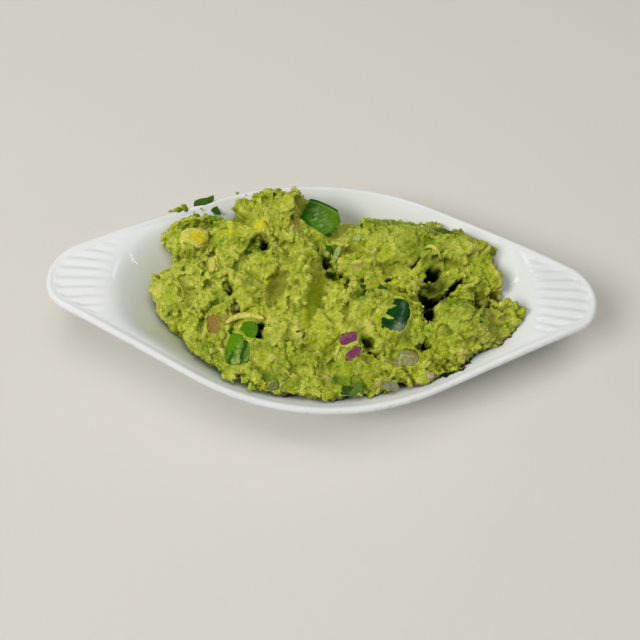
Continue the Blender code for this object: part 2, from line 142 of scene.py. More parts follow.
# Sharper forms that a spoon and the packing leave: name, x, y, half length, half width to the
# left and to the right of its own line, direction of that line, rise, steepness of the sides.
SPOON_FORMS = (
    ("wall of the peak beside the pepper", -14.2, 36.0, 8.0, 5.0, 1.6, 86.0, 3.2, 1.8),
    ("knob on the peak's corner", -14.4, 40.0, 4.2, 3.4, 2.6, 80.0, 2.6, 1.8),
    ("knob on the peak's middle", -24.0, 38.0, 3.4, 2.8, 2.8, 10.0, 1.6, 1.6),
    ("knob on the peak's left", -31.0, 35.0, 4.0, 3.0, 2.4, 20.0, 1.8, 1.6),
    ("tuft at the back left", -40.0, 37.5, 3.0, 2.6, 2.6, 0.0, 2.4, 1.6),
    ("gap at the back left", -54.5, 41.4, 5.0, 2.4, 2.4, 125.0, -9.0, 1.8),
    ("knob on the left back lump", -64.0, 35.4, 3.2, 3.0, 3.0, 0.0, 4.0, 1.8),
    ("step left of the peak's knob", -36.0, 42.0, 6.0, 4.0, 4.0, 20.0, -2.4, 1.8),
    ("knob on top of the peak", -22.0, 42.0, 6.0, 4.0, 4.0, 0.0, 1.0, 2.0),
    ("fold down the peak", -25.0, 30.0, 6.0, 1.6, 1.6, -60.0, -0.9, 1.6),
    ("fold behind the chunk", -58.0, 26.0, 8.0, 2.0, 2.0, -8.0, -2.6, 1.6),
    ("lump behind the fold", -58.0, 31.0, 7.0, 3.0, 2.2, -5.0, 1.8, 1.6),
    ("brow under the chunk", -65.5, 13.6, 8.0, 4.0, 1.4, -6.0, 1.8, 1.6),
    ("fold under the chunk", -64.0, 10.6, 8.0, 1.6, 1.6, -8.0, -1.7, 1.7),
    ("left pin hole", -51.9, 10.6, 1.7, 1.2, 1.2, 70.0, -4.8, 2.0),
    ("left small slit", -54.6, 5.0, 2.2, 1.0, 1.0, -60.0, -3.6, 2.0),
    ("middle pin hole", -28.3, 17.1, 1.6, 1.1, 1.1, 100.0, -4.8, 2.0),
    ("slit by the middle pin hole", -33.5, 17.4, 2.2, 0.9, 0.9, -20.0, -1.4, 2.0),
    ("yellow smear", -46.0, 17.0, 6.0, 3.0, 2.2, 8.0, 1.4, 1.6),
    ("crease left of the ridge's head", -16.0, 13.0, 6.0, 1.6, 1.6, -62.0, -2.0, 1.8),
    ("ridge's head", -8.0, 9.5, 6.0, 5.0, 5.0, 80.0, 2.6, 2.0),
    ("gap right of the head", -0.5, 10.6, 4.0, 1.3, 1.3, -35.0, -5.0, 2.0),
    ("hollow's upper brow", -22.5, 5.6, 7.5, 4.0, 1.6, -5.0, 1.6, 1.6),
    ("scooped hollow", -21.2, -2.4, 9.6, 5.0, 4.6, -102.0, -2.3, 3.0),
    ("hollow's dark foot", -20.5, -11.5, 2.6, 1.2, 1.2, -75.0, -1.6, 2.0),
    ("torn brow right of the hollow", -14.8, -3.0, 8.0, 4.5, 1.3, -108.0, 2.8, 1.8),
    ("streak on the ridge", -14.6, -13.0, 6.0, 1.1, 1.1, -97.0, -2.0, 1.8),
    ("crest of the sheared ridge", -8.8, -8.0, 15.0, 3.4, 4.6, -108.0, 2.3, 1.6),
    ("foot of the sheared ridge", -1.4, -12.0, 13.0, 2.2, 3.0, -108.0, -1.6, 1.8),
    ("flank left of the hollow", -35.5, -3.0, 6.5, 5.5, 5.0, -80.0, 2.2, 1.8),
    ("lump left of the hollow's foot", -31.0, -14.0, 5.0, 4.0, 3.5, -30.0, 1.6, 1.8),
    ("left deep slit", -42.3, -5.2, 4.6, 1.2, 1.4, -84.0, -7.0, 2.0),
    ("crease along the leaf", -48.0, -13.5, 6.5, 1.3, 1.3, 215.0, -2.6, 1.7),
    ("pit right of the leaf", -38.4, -15.6, 1.8, 1.5, 1.5, 0.0, -3.0, 2.0),
    ("upper left lobe", -60.0, 3.0, 8.0, 6.0, 5.0, 0.0, 1.4, 2.0),
    ("left lobe", -68.0, -9.0, 10.0, 7.0, 7.0, -80.0, 2.0, 2.0),
    ("crease down the left lobe", -60.0, -9.0, 7.0, 1.2, 1.2, -70.0, -1.6, 1.6),
    ("crease left of the tan onion", -53.6, -24.0, 8.0, 1.3, 1.3, -95.0, -2.4, 1.6),
    ("pit under the tan onion", -52.6, -30.0, 2.0, 1.2, 1.2, -80.0, -3.5, 2.0),
    ("lumps under the tan onion", -46.0, -34.5, 7.0, 3.0, 2.4, -30.0, 1.8, 1.6),
    ("hole beside the front pepper", -27.3, -25.4, 3.8, 1.5, 1.7, -100.0, -8.0, 2.0),
    ("lump right of the hole", -20.0, -27.0, 6.0, 5.0, 5.0, -70.0, 2.0, 2.0),
    ("lower left clump", -30.0, -43.5, 6.0, 2.6, 2.2, -25.0, 1.8, 1.8),
    ("front clump", -2.0, -38.0, 9.0, 5.0, 4.0, 0.0, 1.8, 2.0),
    ("fold over the front clump", -2.0, -32.5, 8.0, 1.4, 1.4, -8.0, -1.6, 1.7),
    ("lump beside the red onion", 3.5, -27.0, 7.0, 4.0, 3.5, -80.0, 1.6, 2.0),
    ("dark fold in the middle", 4.6, 3.6, 2.6, 2.0, 2.0, 0.0, -3.0, 1.8),
    ("olive scoop", 12.0, 17.6, 6.5, 3.6, 1.4, 8.0, -3.0, 1.8),
    ("lump under the scoop", 15.0, 9.4, 4.5, 2.6, 2.0, 0.0, 1.8, 1.8),
    ("middle slit", 9.8, 3.6, 2.8, 1.0, 1.2, -58.0, -6.0, 2.0),
    ("slit past the middle", 13.6, 0.8, 2.8, 0.9, 1.0, -18.0, -5.0, 2.0),
    ("speck past the slit", 18.6, 2.2, 0.9, 0.9, 0.9, 0.0, -4.0, 2.0),
    ("right slit", 31.4, 2.9, 2.0, 1.0, 1.0, 25.0, -6.0, 2.0),
    ("second right slit", 34.6, 4.8, 1.6, 0.9, 0.9, 60.0, -5.0, 2.0),
    ("crack over the dark pepper", 38.6, -2.8, 3.4, 0.9, 0.9, 10.0, -4.5, 2.0),
    ("brow over the crack", 40.0, 0.0, 5.0, 2.6, 1.2, -25.0, 1.8, 1.6),
    ("dark fold left of the dark pepper", 18.5, -6.0, 6.0, 1.6, 1.6, 25.0, -2.2, 1.7),
    ("short streak", 11.6, -12.6, 2.6, 0.9, 0.9, 78.0, -2.4, 2.0),
    ("lump in the middle", 12.0, -7.0, 6.0, 3.4, 3.0, 10.0, 1.6, 2.0),
    ("smooth lobe behind the slits", 33.0, 13.5, 7.5, 5.5, 4.5, 5.0, 2.0, 2.0),
    ("lump behind the middle slit", 22.0, 14.0, 4.5, 3.0, 2.6, 80.0, 1.6, 2.0),
    ("notch left of the crescent", 43.0, 12.4, 3.6, 1.8, 1.8, 55.0, -4.0, 1.8),
    ("cave's roof", 55.0, 13.6, 9.0, 4.0, 1.8, -8.0, 3.4, 1.8),
    ("cave's top", 52.0, 8.2, 3.6, 2.6, 2.4, -15.0, -8.0, 2.2),
    ("cave's cone", 53.6, 3.8, 4.8, 2.8, 2.4, -6.0, 3.5, 1.6),
    ("cave's floor", 52.0, -3.6, 7.0, 2.4, 3.8, 8.0, -11.0, 2.2),
    ("cave's right arm", 61.5, 2.2, 4.0, 1.4, 1.5, 40.0, -7.0, 2.0),
    ("slit beside the right lobe", 48.4, -13.4, 4.8, 1.5, 1.6, -78.0, -10.0, 2.2),
    ("lobe's torn brow", 60.0, -11.4, 8.0, 1.3, 5.0, 30.0, 1.8, 1.8),
    ("lobe's face", 63.0, -19.0, 11.0, 7.0, 7.0, 5.0, 2.0, 2.2),
    ("lobe's lower brow", 67.0, -26.0, 11.0, 4.5, 1.4, 10.0, 2.6, 1.8),
    ("crease on the lobe", 71.6, -5.4, 4.6, 1.1, 1.1, 75.0, -3.4, 1.8),
    ("second crease on the lobe", 75.8, -8.0, 2.6, 0.9, 0.9, 60.0, -2.8, 1.8),
    ("thin crease to the tip", 82.0, -11.0, 4.4, 0.9, 0.9, -28.0, -2.2, 1.8),
    ("lump behind the lobe", 67.0, 2.5, 6.0, 4.0, 3.0, -10.0, 2.0, 1.8),
    ("lobe's tip", 88.5, -7.0, 6.0, 3.5, 3.5, 0.0, 2.6, 1.6),
    ("gap behind the lobe", 79.5, -1.6, 4.6, 1.4, 1.4, -20.0, -3.4, 1.8),
    ("knob on the right back", 62.5, 28.0, 3.2, 2.6, 2.6, 0.0, 2.6, 1.6),
    ("knob at the right end", 77.0, 20.0, 4.0, 3.2, 3.2, -30.0, 2.6, 1.6),
    ("pale knob at the right edge", 81.0, 6.0, 4.6, 3.0, 3.0, -80.0, 2.4, 1.6),
    ("cup's right wall", 43.6, -15.0, 8.0, 2.4, 1.8, -84.0, 2.2, 1.8),
    ("groove right of the red onion", 20.8, -28.4, 8.5, 1.2, 1.3, -56.0, -4.0, 1.9),
    ("hole in the groove's head", 16.4, -22.6, 2.2, 1.0, 1.0, -50.0, -6.0, 2.0),
    ("hole in the groove's foot", 24.4, -34.0, 2.4, 1.1, 1.1, -45.0, -7.0, 2.0),
    ("smear beside the groove", 26.0, -27.6, 9.0, 2.6, 1.6, -57.0, 2.0, 1.8),
    ("slit under the dark pepper", 46.0, -28.6, 2.4, 0.9, 0.9, -5.0, -5.0, 2.0),
    ("clump right of the pale onion", 50.0, -35.0, 5.0, 4.0, 3.4, -30.0, 1.6, 2.0),
    ("front right clump", 61.0, -34.0, 7.0, 4.5, 3.0, 15.0, 2.2, 1.8),
    ("clump at the front edge", 25.0, -45.5, 5.0, 3.0, 2.4, 10.0, 2.4, 1.8),
)

# Places that stay smooth: name, x, y, half length, half width, direction, how smooth.
SMOOTH_PATCHES = (
    ("sheared face", -3.8, -10.5, 13.5, 3.2, -108.0, 0.97),
    ("scooped hollow", -21.0, -2.8, 8.0, 4.4, -102.0, 0.9),
    ("left flank", -34.0, -8.0, 10.0, 6.0, -60.0, 0.45),
    ("front of the lobe", 62.0, -20.0, 11.0, 7.0, 10.0, 0.35),
    ("olive scoop", 12.0, 18.0, 6.0, 3.4, 10.0, 0.8),
    ("smooth lobe", 33.0, 14.0, 6.5, 5.0, 5.0, 0.55),
    ("left lobe", -67.0, -9.0, 8.0, 8.0, 0.0, 0.35),
    ("face left of the red onion", 2.0, -27.0, 8.0, 4.0, -80.0, 0.5),
    ("crescent's slope", 60.0, 14.0, 8.0, 4.0, -20.0, 0.4),
)

# Lumps of firm avocado: name, x, y, half length, half width, direction, rise.
FIRM_LUMPS = (
    ("left peak lump", -30.3, 23.2, 3.6, 2.6, 55.0, 1.4),
    ("peak corner lump", -15.0, 39.7, 3.0, 2.4, 80.0, 0.8),
    ("long lump on the ridge", -9.8, -26.0, 5.2, 2.3, -85.0, 2.4),
    ("right back lump", 68.4, 18.2, 5.0, 2.2, -10.0, 1.2),
    ("right edge lump", 81.5, 7.5, 3.6, 2.4, -70.0, 0.8),
    ("front lump", -21.0, -37.6, 2.8, 1.8, -5.0, 1.2),
    ("front left lump", -42.5, -35.8, 3.0, 1.9, -45.0, 1.2),
    ("lump in the valley", 15.0, 9.2, 3.6, 1.8, 5.0, 0.8),
    ("lump behind the middle slit", 23.0, 15.0, 3.0, 1.9, 80.0, 0.6),
    ("lump by the cave", 44.0, 2.4, 5.0, 1.8, 38.0, 1.6),
    ("lump under the lobe", 63.0, -31.5, 3.6, 2.4, 20.0, 0.8),
    ("front middle lump", 4.0, -45.0, 3.0, 1.9, 0.0, 0.8),
    ("left edge lump", -75.5, -7.0, 4.4, 3.0, -75.0, 0.8),
    ("sliver on the left", -51.4, 4.6, 3.6, 1.2, -88.0, 1.0),
    ("lump beside the hole", -22.0, -21.0, 3.4, 2.2, -60.0, 1.0),
    ("lump in the front smear", 21.0, -21.5, 3.4, 1.6, -60.0, 1.0),
    ("lump on the front clump", 26.5, -47.0, 2.6, 1.8, 0.0, 0.8),
)

# Where the mash's edge runs higher or lower on the wall than the heap's formula: as EDGE_FORMS.
EDGE_CHANGES = (
    ("front", 268.0, 36.0, -0.17),
    ("front right", 330.0, 17.0, -0.34),
    ("under the tip", 347.0, 7.0, -0.27),
    ("above the tip", 357.8, 3.2, 0.36),
    ("right side above the tip", 5.5, 5.0, -0.15),
    ("right end", 20.0, 6.0, -0.09),
    ("right back side", 35.0, 4.0, -0.15),
    ("back valley", 70.0, 8.0, 0.16),
    ("behind the right peak", 48.0, 5.0, -0.10),
    ("gap right of the left back lump", 143.6, 3.0, 0.70),
    ("left back lump's end", 162.0, 5.0, -0.12),
    ("gap left of the left back lump", 171.0, 3.0, 0.12),
    ("left lobe", 184.0, 6.0, -0.08),
    ("gap under the left lobe", 199.0, 4.0, 0.12),
    ("front left", 215.0, 12.0, -0.10),
    ("front middle", 236.0, 12.0, -0.14),
)

# Bruised, oily or browned places, with painted shade and light among them: name, x, y, half length,
# half width, direction, colour, share. The rows in green shade are painted shade, those in the crack
# and gap colours painted shadow in the cave, holes and slits, and the left shoulder's light row is
# painted light.
STAINS = (
    ("sheared face", -3.6, -11.0, 12.5, 2.2, -108.0, "green", 2.0),
    ("scooped hollow", -20.8, -2.6, 8.6, 4.2, -102.0, "olive_brown", 1.1),
    ("olive scoop", 13.0, 18.0, 6.0, 3.0, 10.0, "olive_brown", 0.65),
    ("avocado's fringe", -63.0, 22.0, 5.0, 2.4, -5.0, "brown", 0.7),
    ("right edge band", 85.0, -2.0, 6.0, 2.0, -38.0, "brown", 0.8),
    ("lobe's right side", 75.0, -13.0, 7.0, 5.0, -40.0, "brown", 0.45),
    ("lobe's foot", 72.0, -22.0, 6.0, 4.0, 20.0, "brown", 0.25),
    ("beside the tan onion", -42.5, -19.6, 4.0, 2.4, 20.0, "brown", 0.5),
    ("browned sliver", -14.0, 26.5, 4.0, 1.4, -55.0, "brown", 0.8),
    ("pith round the red onions", 12.6, -30.2, 6.4, 4.4, -65.0, "light", 0.6),
    # Painted shadow: the cave, the pin holes and the slits darkened nearly to black.
    ("cave's cone", 54.0, 3.4, 5.0, 3.4, 0.0, "crack_shade", 0.75),
    ("cave's top", 51.6, 8.6, 3.0, 2.0, -5.0, "gap", 3.0),
    ("cave's floor", 52.0, -3.6, 6.0, 2.6, 8.0, "gap", 3.0),
    ("left pin hole", -51.9, 10.6, 1.9, 1.2, 70.0, "gap", 4.0),
    ("left small slit", -54.6, 5.0, 1.9, 0.9, -60.0, "gap", 2.5),
    ("middle pin hole", -28.3, 17.1, 1.8, 1.2, 100.0, "gap", 4.0),
    ("cave's right arm", 60.6, 1.4, 3.4, 1.1, 42.0, "gap", 2.0),
    ("slit beside the right lobe", 49.6, -11.0, 4.4, 1.2, -78.0, "gap", 2.5),
    ("yellow flesh on the peak", -30.6, 23.6, 3.4, 2.6, 20.0, "yellow", 1.0),
    ("yellow flesh behind the fold", -44.0, 21.0, 5.0, 2.6, 10.0, "yellow", 0.5),
    # Painted shade in darker green: on the front, under and behind lumps, round slits and on the right.
    ("front shade", 12.0, -46.0, 9.0, 3.0, 0.0, "green_shade", 0.7),
    ("lobe's crown", 62.0, -10.0, 9.0, 3.4, -8.0, "green_shade", 0.55),
    ("right peak's back", 32.0, 34.0, 14.0, 3.4, -4.0, "green_shade", 0.6),
    ("behind the crescent", 45.0, 17.0, 6.0, 3.4, 30.0, "green_shade", 0.5),
    ("left of the dark pepper", 19.0, -7.0, 7.0, 3.0, 30.0, "green_shade", 0.6),
    ("round the middle slit", 4.6, 3.0, 3.4, 3.4, 0.0, "green_shade", 0.8),
    ("under the peak", -33.0, 15.5, 6.0, 3.4, 0.0, "green_shade", 0.55),
    ("behind the chunk", -57.0, 26.5, 9.0, 2.4, -5.0, "green_shade", 0.7),
    ("round the leaf", -48.0, -13.0, 7.0, 2.6, 38.0, "green_shade", 0.5),
    ("right of the front pepper", -25.0, -30.0, 4.0, 3.0, -80.0, "green_shade", 0.3),
    ("front left edge", -48.0, -36.0, 12.0, 2.0, -38.0, "green_shade", 0.5),
    # Painted light: the left shoulder made paler where the light falls from the left.
    ("left shoulder", -55.0, -4.0, 20.0, 16.0, 0.0, "light", 0.30),
    ("right back", 45.0, 26.0, 26.0, 12.0, -8.0, "green_shade", 0.26),
    ("right lobe", 66.0, -18.0, 16.0, 12.0, 10.0, "green_shade", 0.20),
    ("front", 5.0, -38.0, 34.0, 10.0, 0.0, "green_shade", 0.16),
    ("front edge", -18.0, -46.0, 8.0, 2.4, -5.0, "green_shade", 0.6),
    ("under the red onion", 40.0, -27.5, 8.0, 3.0, 10.0, "green_shade", 0.45),
)

# How the mash meets the wall deeper where a dark gap shows: direction, spread, share of the wall.
# The first row is all round.
EDGE_GAPS = (
    (0.0, 400.0, 0.05),
    (204.0, 9.0, 0.44), (219.0, 9.0, 0.50), (234.0, 4.0, 0.38), (243.0, 3.0, 0.34),
    (264.0, 5.0, 0.20), (309.0, 4.0, 0.30), (338.0, 6.0, 0.20),
)

# Rows and columns of the mash's grid, the half length and half width that spread its directions,
# and the power that crowds its points towards the edge.
GRID_ROWS, GRID_COLUMNS = 228, 396
GRID_SPREAD = (87, 51)
EDGE_CROWDING = 1.2

# Sizes of the relief layers whose clumps are tinted one by one.
TINTED_SIZES = (7.0, 1.9)

# How far from a slab's middle the mash is pressed by it, in the slab's own axes.
SLAB_REACH = (16, 16, 12)

# Relief of the mash, coarse to fine: kind, size, relief, seed, how much smooth places keep.
RELIEF_LAYERS = (
    ("broken", 13.0, 1.7, 11, 0.4),
    ("billows", 9.0, 0.9, 17, 0.5),
    ("broken", 7.0, 1.15, 29, 0.25),
    ("crests", 6.0, 0.5, 31, 0.15),
    ("broken", 3.6, 0.32, 41, 0.15),
    ("billows", 2.7, 0.20, 47, 0.12),
    ("broken", 1.9, 0.19, 51, 0.12),
    ("billows", 1.2, 0.12, 59, 0.12),
)

# Places the spoon dragged: name, x, y, half length, half width, direction, pitch, height.
STROKES = (
    ("left shoulder", -52.0, 2.0, 13.0, 11.0, -75.0, 4.2, 1.0),
    ("left lobe", -66.0, -10.0, 10.0, 8.0, -70.0, 3.4, 0.8),
    ("peak", -28.0, 27.0, 12.0, 10.0, -62.0, 4.0, 0.4),
    ("behind the slits", 32.0, 13.0, 14.0, 8.0, 8.0, 3.6, 1.0),
    ("right peak", 45.0, 27.0, 18.0, 8.0, -14.0, 4.0, 1.1),
    ("ridge", -8.0, -8.0, 16.0, 7.0, -97.0, 3.0, 0.8),
    ("flank of the hollow", -36.0, -4.0, 12.0, 7.0, -72.0, 3.4, 1.0),
    ("middle", 12.0, -6.0, 14.0, 8.0, -20.0, 3.6, 1.0),
    ("front slope", -4.0, -32.0, 20.0, 9.0, -12.0, 3.8, 1.0),
    ("front left", -40.0, -32.0, 16.0, 8.0, -42.0, 3.4, 1.0),
    ("front right", 34.0, -32.0, 18.0, 8.0, 18.0, 3.4, 1.0),
    ("lobe", 64.0, -18.0, 15.0, 11.0, 32.0, 3.6, 1.1),
    ("crescent", 58.0, 13.0, 11.0, 6.0, -30.0, 3.2, 1.0),
)

# Cut pieces that stand for a CAD node: node, direction of its width seen from above, thickness,
# bend radius, how far its middle is above the mash, how closely the mash hugs it, how round its
# corners are, and its corners in its own plane, from its middle.
SLABS = (
    ("pepper_back", -18.0, 4.0, 15.0, 2.0, 0.0, 0.2,
     ((-8.0, 8.8), (5.4, 7.4), (8.8, 3.0), (6.8, -4.4), (3.2, -8.4), (-8.4, -6.4), (-9.2, 0.6))),
    ("pepper_dark", -12.0, 4.2, 12.0, 0.8, 1.0, 0.9,
     ((-4.2, 5.6), (0.0, 6.8), (3.6, 5.2), (5.2, 0.6), (5.0, -3.6), (3.4, -9.2), (1.2, -9.8),
      (-2.6, -9.2), (-5.6, -8.0), (-6.4, -5.0), (-5.0, -1.6))),
    ("pepper_front", 14.0, 3.6, 10.0, 0.6, 1.0, 0.7,
     ((-3.0, 2.6), (0.0, 3.8), (4.8, 2.8), (5.2, -1.0), (3.0, -4.6), (-1.0, -4.2), (-4.6, -2.8))),
    ("pepper_lower", -24.0, 3.2, 9.0, 0.4, 0.8, 0.8,
     ((-5.0, 8.6), (0.4, 9.6), (5.6, 6.6), (7.4, 0.6), (4.2, -3.4), (-0.6, -4.4), (-3.6, 1.6))),
    ("onion_red_upper", 20.0, 3.6, 16.0, 0.7, 1.0, 0.4,
     ((-4.2, -1.2), (-3.6, 1.2), (2.2, 3.1), (3.7, 2.0), (4.1, -0.8), (3.0, -1.8), (-1.8, -2.8),
      (-4.0, -2.2))),
    ("onion_red_lower", 28.0, 3.6, 16.0, 0.7, 1.0, 0.5,
     ((3.2, 1.9), (4.4, -0.8), (3.0, -2.2), (-2.0, -2.9), (-3.7, -1.4), (-3.0, 1.1), (0.5, 1.6))),
    ("onion_pale", -8.0, 3.0, 18.0, 0.5, 0.9, 0.8,
     ((-6.0, 2.6), (-2.4, 4.8), (2.6, 4.8), (4.6, 2.8), (3.6, -1.8), (-2.9, -3.6), (-5.8, -2.2))),
    ("onion_tan", 12.0, 3.0, 14.0, 0.6, 1.0, 1.0,
     ((-2.6, 3.8), (0.8, 5.0), (3.6, 2.2), (3.5, -4.2), (-1.0, -5.4), (-3.2, -2.2))),
    ("avocado_chunk", 0.0, 7.0, 60.0, 1.2, 0.35, 1.5,
     ((-5.5, 0.0), (-3.5, 3.8), (3.0, 4.0), (5.5, 0.5), (3.5, -3.8), (-3.5, -3.6))),
)

# Smears of mash over the pieces: node, x and y in its own plane, half length, half width, direction.
COVERS = (
    ("pepper_dark", -2.6, 1.8, 2.8, 1.1, 10.0),
    ("pepper_dark", -2.2, -4.4, 4.4, 1.2, -22.0),
    ("pepper_dark", -5.0, 3.4, 2.0, 2.4, -60.0),
    ("pepper_back", -2.0, -8.2, 9.0, 1.8, -8.0),
    ("pepper_front", -3.4, 1.8, 2.6, 1.0, 30.0),
    ("pepper_lower", 2.6, 2.0, 3.0, 0.7, 60.0),
    ("onion_pale", 1.2, -3.4, 4.0, 1.1, 5.0),
    ("onion_pale", -4.8, 2.6, 2.0, 1.0, 60.0),
    ("onion_tan", 3.0, -3.0, 2.4, 1.0, 80.0),
    ("avocado_chunk", -4.0, -3.4, 3.4, 1.6, -10.0),
)

# Corners of a small cut piece, as shares of its half width and half length.
BIT_CORNERS = ((-1, -0.7), (-0.6, -1), (0.8, -0.9), (1, 0.5), (0.4, 1), (-0.9, 0.8))

# Small cut pieces in the mash: name, x, y, direction, width, length, thickness, lift, colour.
BITS = (
    ("green piece at the front edge", 15.6, -49.0, 5.0, 9.0, 5.0, 2.4, -0.3, "bit_green"),
    ("clear onion at the front edge", 31.6, -47.2, -12.0, 7.4, 4.2, 2.2, 0.0, "bit_grey"),
    ("purple layer at the front edge", 43.0, -44.8, 14.0, 6.4, 1.6, 1.6, 0.3, "onion_red"),
    ("pale purple bit", 48.8, -42.4, 25.0, 3.6, 2.6, 1.6, 0.2, "onion_pith"),
    ("dark pepper under the back piece", 2.0, 15.6, 82.0, 8.6, 3.0, 2.0, 0.1, "pepper_edge"),
    ("pale shell beside it", 5.6, 15.0, 78.0, 8.6, 2.6, 1.8, 0.6, "bit_pale"),
    ("clear onion in the valley", 15.5, 23.6, -8.0, 4.4, 3.4, 1.6, 0.1, "bit_pale"),
    ("strip on the right peak", 54.6, 26.6, -24.0, 8.4, 2.6, 1.6, 0.3, "bit_grey_green"),
    ("dotted bit at the front left", -19.4, -50.2, 10.0, 4.2, 3.6, 2.0, 0.0, "bit_grey_green"),
    ("clear bit right of the leaf", -38.4, -15.2, 20.0, 2.6, 2.2, 1.4, 0.0, "bit_grey"),
    ("clear onion behind the chunk", -55.0, 26.4, -5.0, 4.8, 2.4, 1.6, 0.2, "bit_pale"),
    ("green bit behind the chunk", -53.6, 30.4, 5.0, 4.4, 2.6, 1.6, 0.2, "pepper"),
    ("dark bit by the front pepper", -40.0, -26.0, 30.0, 4.2, 2.6, 1.6, 0.1, "pepper_edge"),
    ("green bit under the red onion", 8.4, -38.6, 60.0, 2.6, 1.8, 1.2, 0.1, "pepper"),
)

# Slivers of avocado on the mash: name, ends and bend of the strip, width, thickness, lift, colour.
SLIVERS = (
    ("strip above the front pepper", (-42.0, -24.0), (-35.0, -18.8), (-26.0, -20.6), 3.4, 2.6, 1.0, "firm"),
    ("pale sliver on the left", (-51.2, 7.5), (-50.6, 4.0), (-50.8, 0.5), 2.2, 1.6, 0.4, "firm"),
    ("crescent on the right peak", (46.0, 15.8), (50.0, 14.6), (54.0, 11.6), 1.8, 1.4, 0.6, "light"),
    ("browned sliver", (-14.5, 29.0), (-12.5, 25.5), (-7.5, 21.5), 1.6, 1.2, 0.5, "brown"),
    ("sliver by the cave", (41.0, -1.5), (45.5, 2.6), (49.0, 5.6), 3.4, 2.0, 0.2, "light"),
    ("streak left of the red onion", (6.8, -36.0), (8.0, -31.5), (10.5, -27.5), 1.5, 0.9, 0.3, "light"),
    ("strip by the dark pepper", (23.0, -9.0), (25.0, -14.0), (28.5, -20.0), 2.2, 1.4, 0.4, "light"),
)

# Larger scraps of cilantro on the mash: name, place, direction, width, length, curl, lift, paleness.
HERBS = (
    ("leaf in the left crack", (-46.5, -12.0), 45.0, 7.5, 3.4, 0.25, 0.1, 0.15),
    ("strip behind the avocado chunk", (-66.5, 26.0), 25.0, 8.5, 2.6, 0.2, 0.5, -0.15),
    ("strip on the right peak", (55.5, 25.0), -25.0, 7.5, 2.4, 0.2, 0.4, 0.55),
    ("front edge leaf", (13.5, -50.0), 5.0, 9.0, 3.2, 0.2, 0.3, 0.15),
    ("front left fleck", (-22.0, -49.5), 15.0, 4.0, 2.6, 0.2, 0.3, 0.4),
    ("piece in the valley", (2.3, 17.5), -75.0, 8.0, 3.6, 0.2, 0.5, 0.35),
    ("fleck by the middle pin hole", (-36.0, 13.5), 10.0, 3.4, 1.8, 0.2, 0.2, 0.0),
    ("fleck below the slit", (18.5, -2.5), 35.0, 3.6, 2.2, 0.2, 0.2, 0.1),
    ("fleck right of the slit", (26.5, -4.0), -20.0, 4.4, 2.2, 0.2, 0.2, 0.2),
    ("fleck on the peak", (-32.0, 45.0), 20.0, 3.2, 2.0, 0.2, 0.2, 0.2),
)

# Leaves on the back rim: name, place, direction, rise, fold, normal, paleness, corners in own plane.
RIM_LEAVES = (
    ("folded leaf over the edge", (-60.4, 44.9), 17.0, 1.1, 0.35, (0.1, -0.3, 1.0), 0.48,
     ((-5.8, -1.9), (-4.8, 1.0), (-2.0, 1.8), (1.6, 1.6), (5.4, 2.3), (4.8, -0.4), (2.2, -1.5),
      (-2.2, -2.4))),
    ("small dark leaf", (-55.0, 42.0), -40.0, 0.8, 0.2, (0.0, -0.2, 1.0), -0.15,
     ((-3.6, -0.6), (-2.0, 2.2), (0.8, 1.6), (4.0, 0.4), (1.8, -1.8), (-1.4, -1.8))),
)

# Crumbs on the back rim: span of x, span of distance inside the edge (below 0 is beyond it), how
# many, largest size.
RIM_CRUMBS = (
    ((-76.5, -69.0), (-0.6, 0.2), 20, 0.8),
    ((-73.5, -69.6), (-0.7, 0.9), 16, 1.4),
    ((-45.4, -44.6), (0.2, 0.8), 2, 0.7),
    ((-44.0, -30.0), (2.0, 5.5), 8, 0.5),
    ((-68.0, -62.0), (2.0, 5.0), 4, 0.5),
    ((58.0, 66.0), (5.0, 9.0), 2, 0.4),
)


# ---- colour


def linear(hex_colour):
    """An sRGB hex colour as linear red, green and blue: the sRGB transfer curve, undone."""
    channels = [int(hex_colour[i : i + 2], 16) / 255 for i in (1, 3, 5)]
    return tuple(c / 12.92 if c <= 0.04045 else ((c + 0.055) / 1.055) ** 2.4 for c in channels)


def colour_property(name, description, hex_colour):
    """A colour picker whose default is an sRGB hex colour."""
    return bpy.props.FloatVectorProperty(
        name=name, description=description, subtype="COLOR", size=3, min=0, max=1,
        default=linear(hex_colour),
    )


# ---- noise


def hashed(cells, seed):
    """A repeatable share from 0 to 1 for whole-number cells.

    The three numbers are multiplied by large odd numbers, combined by exclusive or, and stirred.
    """
    x, y, z = (cells[..., axis].astype(np.int64).astype(np.uint32) for axis in range(3))
    mixed = x * np.uint32(73856093) ^ y * np.uint32(19349663) ^ z * np.uint32(83492791)
    mixed = mixed ^ np.uint32(seed * 2654435761 % 2**32)
    for shift, factor in ((15, 2246822519), (13, 3266489917), (16, 668265263)):
        mixed = (mixed ^ (mixed >> np.uint32(shift))) * np.uint32(factor)
    return (mixed ^ (mixed >> np.uint32(15))) / 2.0**32


def smooth_noise(points, size, seed):
    """Gradient noise from about -1 to 1 whose features have a given size.

    Each cell corner has a random slope, and the slopes' heights are blended by 6t^5-15t^4+10t^3.
    """
    at = np.asarray(points) / size
    cell = np.floor(at)
    part = at - cell
    fade = part**3 * (part * (part * 6 - 15) + 10)
    total = np.zeros(at.shape[:-1])
    for corner in np.ndindex(2, 2, 2):
        offset = np.array(corner)
        slope = np.stack([hashed(cell + offset, seed + 7 * k) * 2 - 1 for k in range(3)], -1)
        weight = np.prod(np.where(offset, fade, 1 - fade), axis=-1)
        total += weight * np.sum(slope * (part - offset), axis=-1)
    return total * 1.4


def layered_noise(points, size, seed, octaves=3):
    """Smooth noise summed over octaves, each half the size and 0.55 of the height of the last."""
    total, height = 0.0, 1.0
    for octave in range(octaves):
        total = total + height * smooth_noise(points, size / 2**octave, seed + octave)
        height *= 0.55
    return total


def noise_vectors(points, size, seed):
    """Three smooth noises as one vector at each point."""
    return np.stack([smooth_noise(points, size, seed + axis) for axis in range(3)], -1)


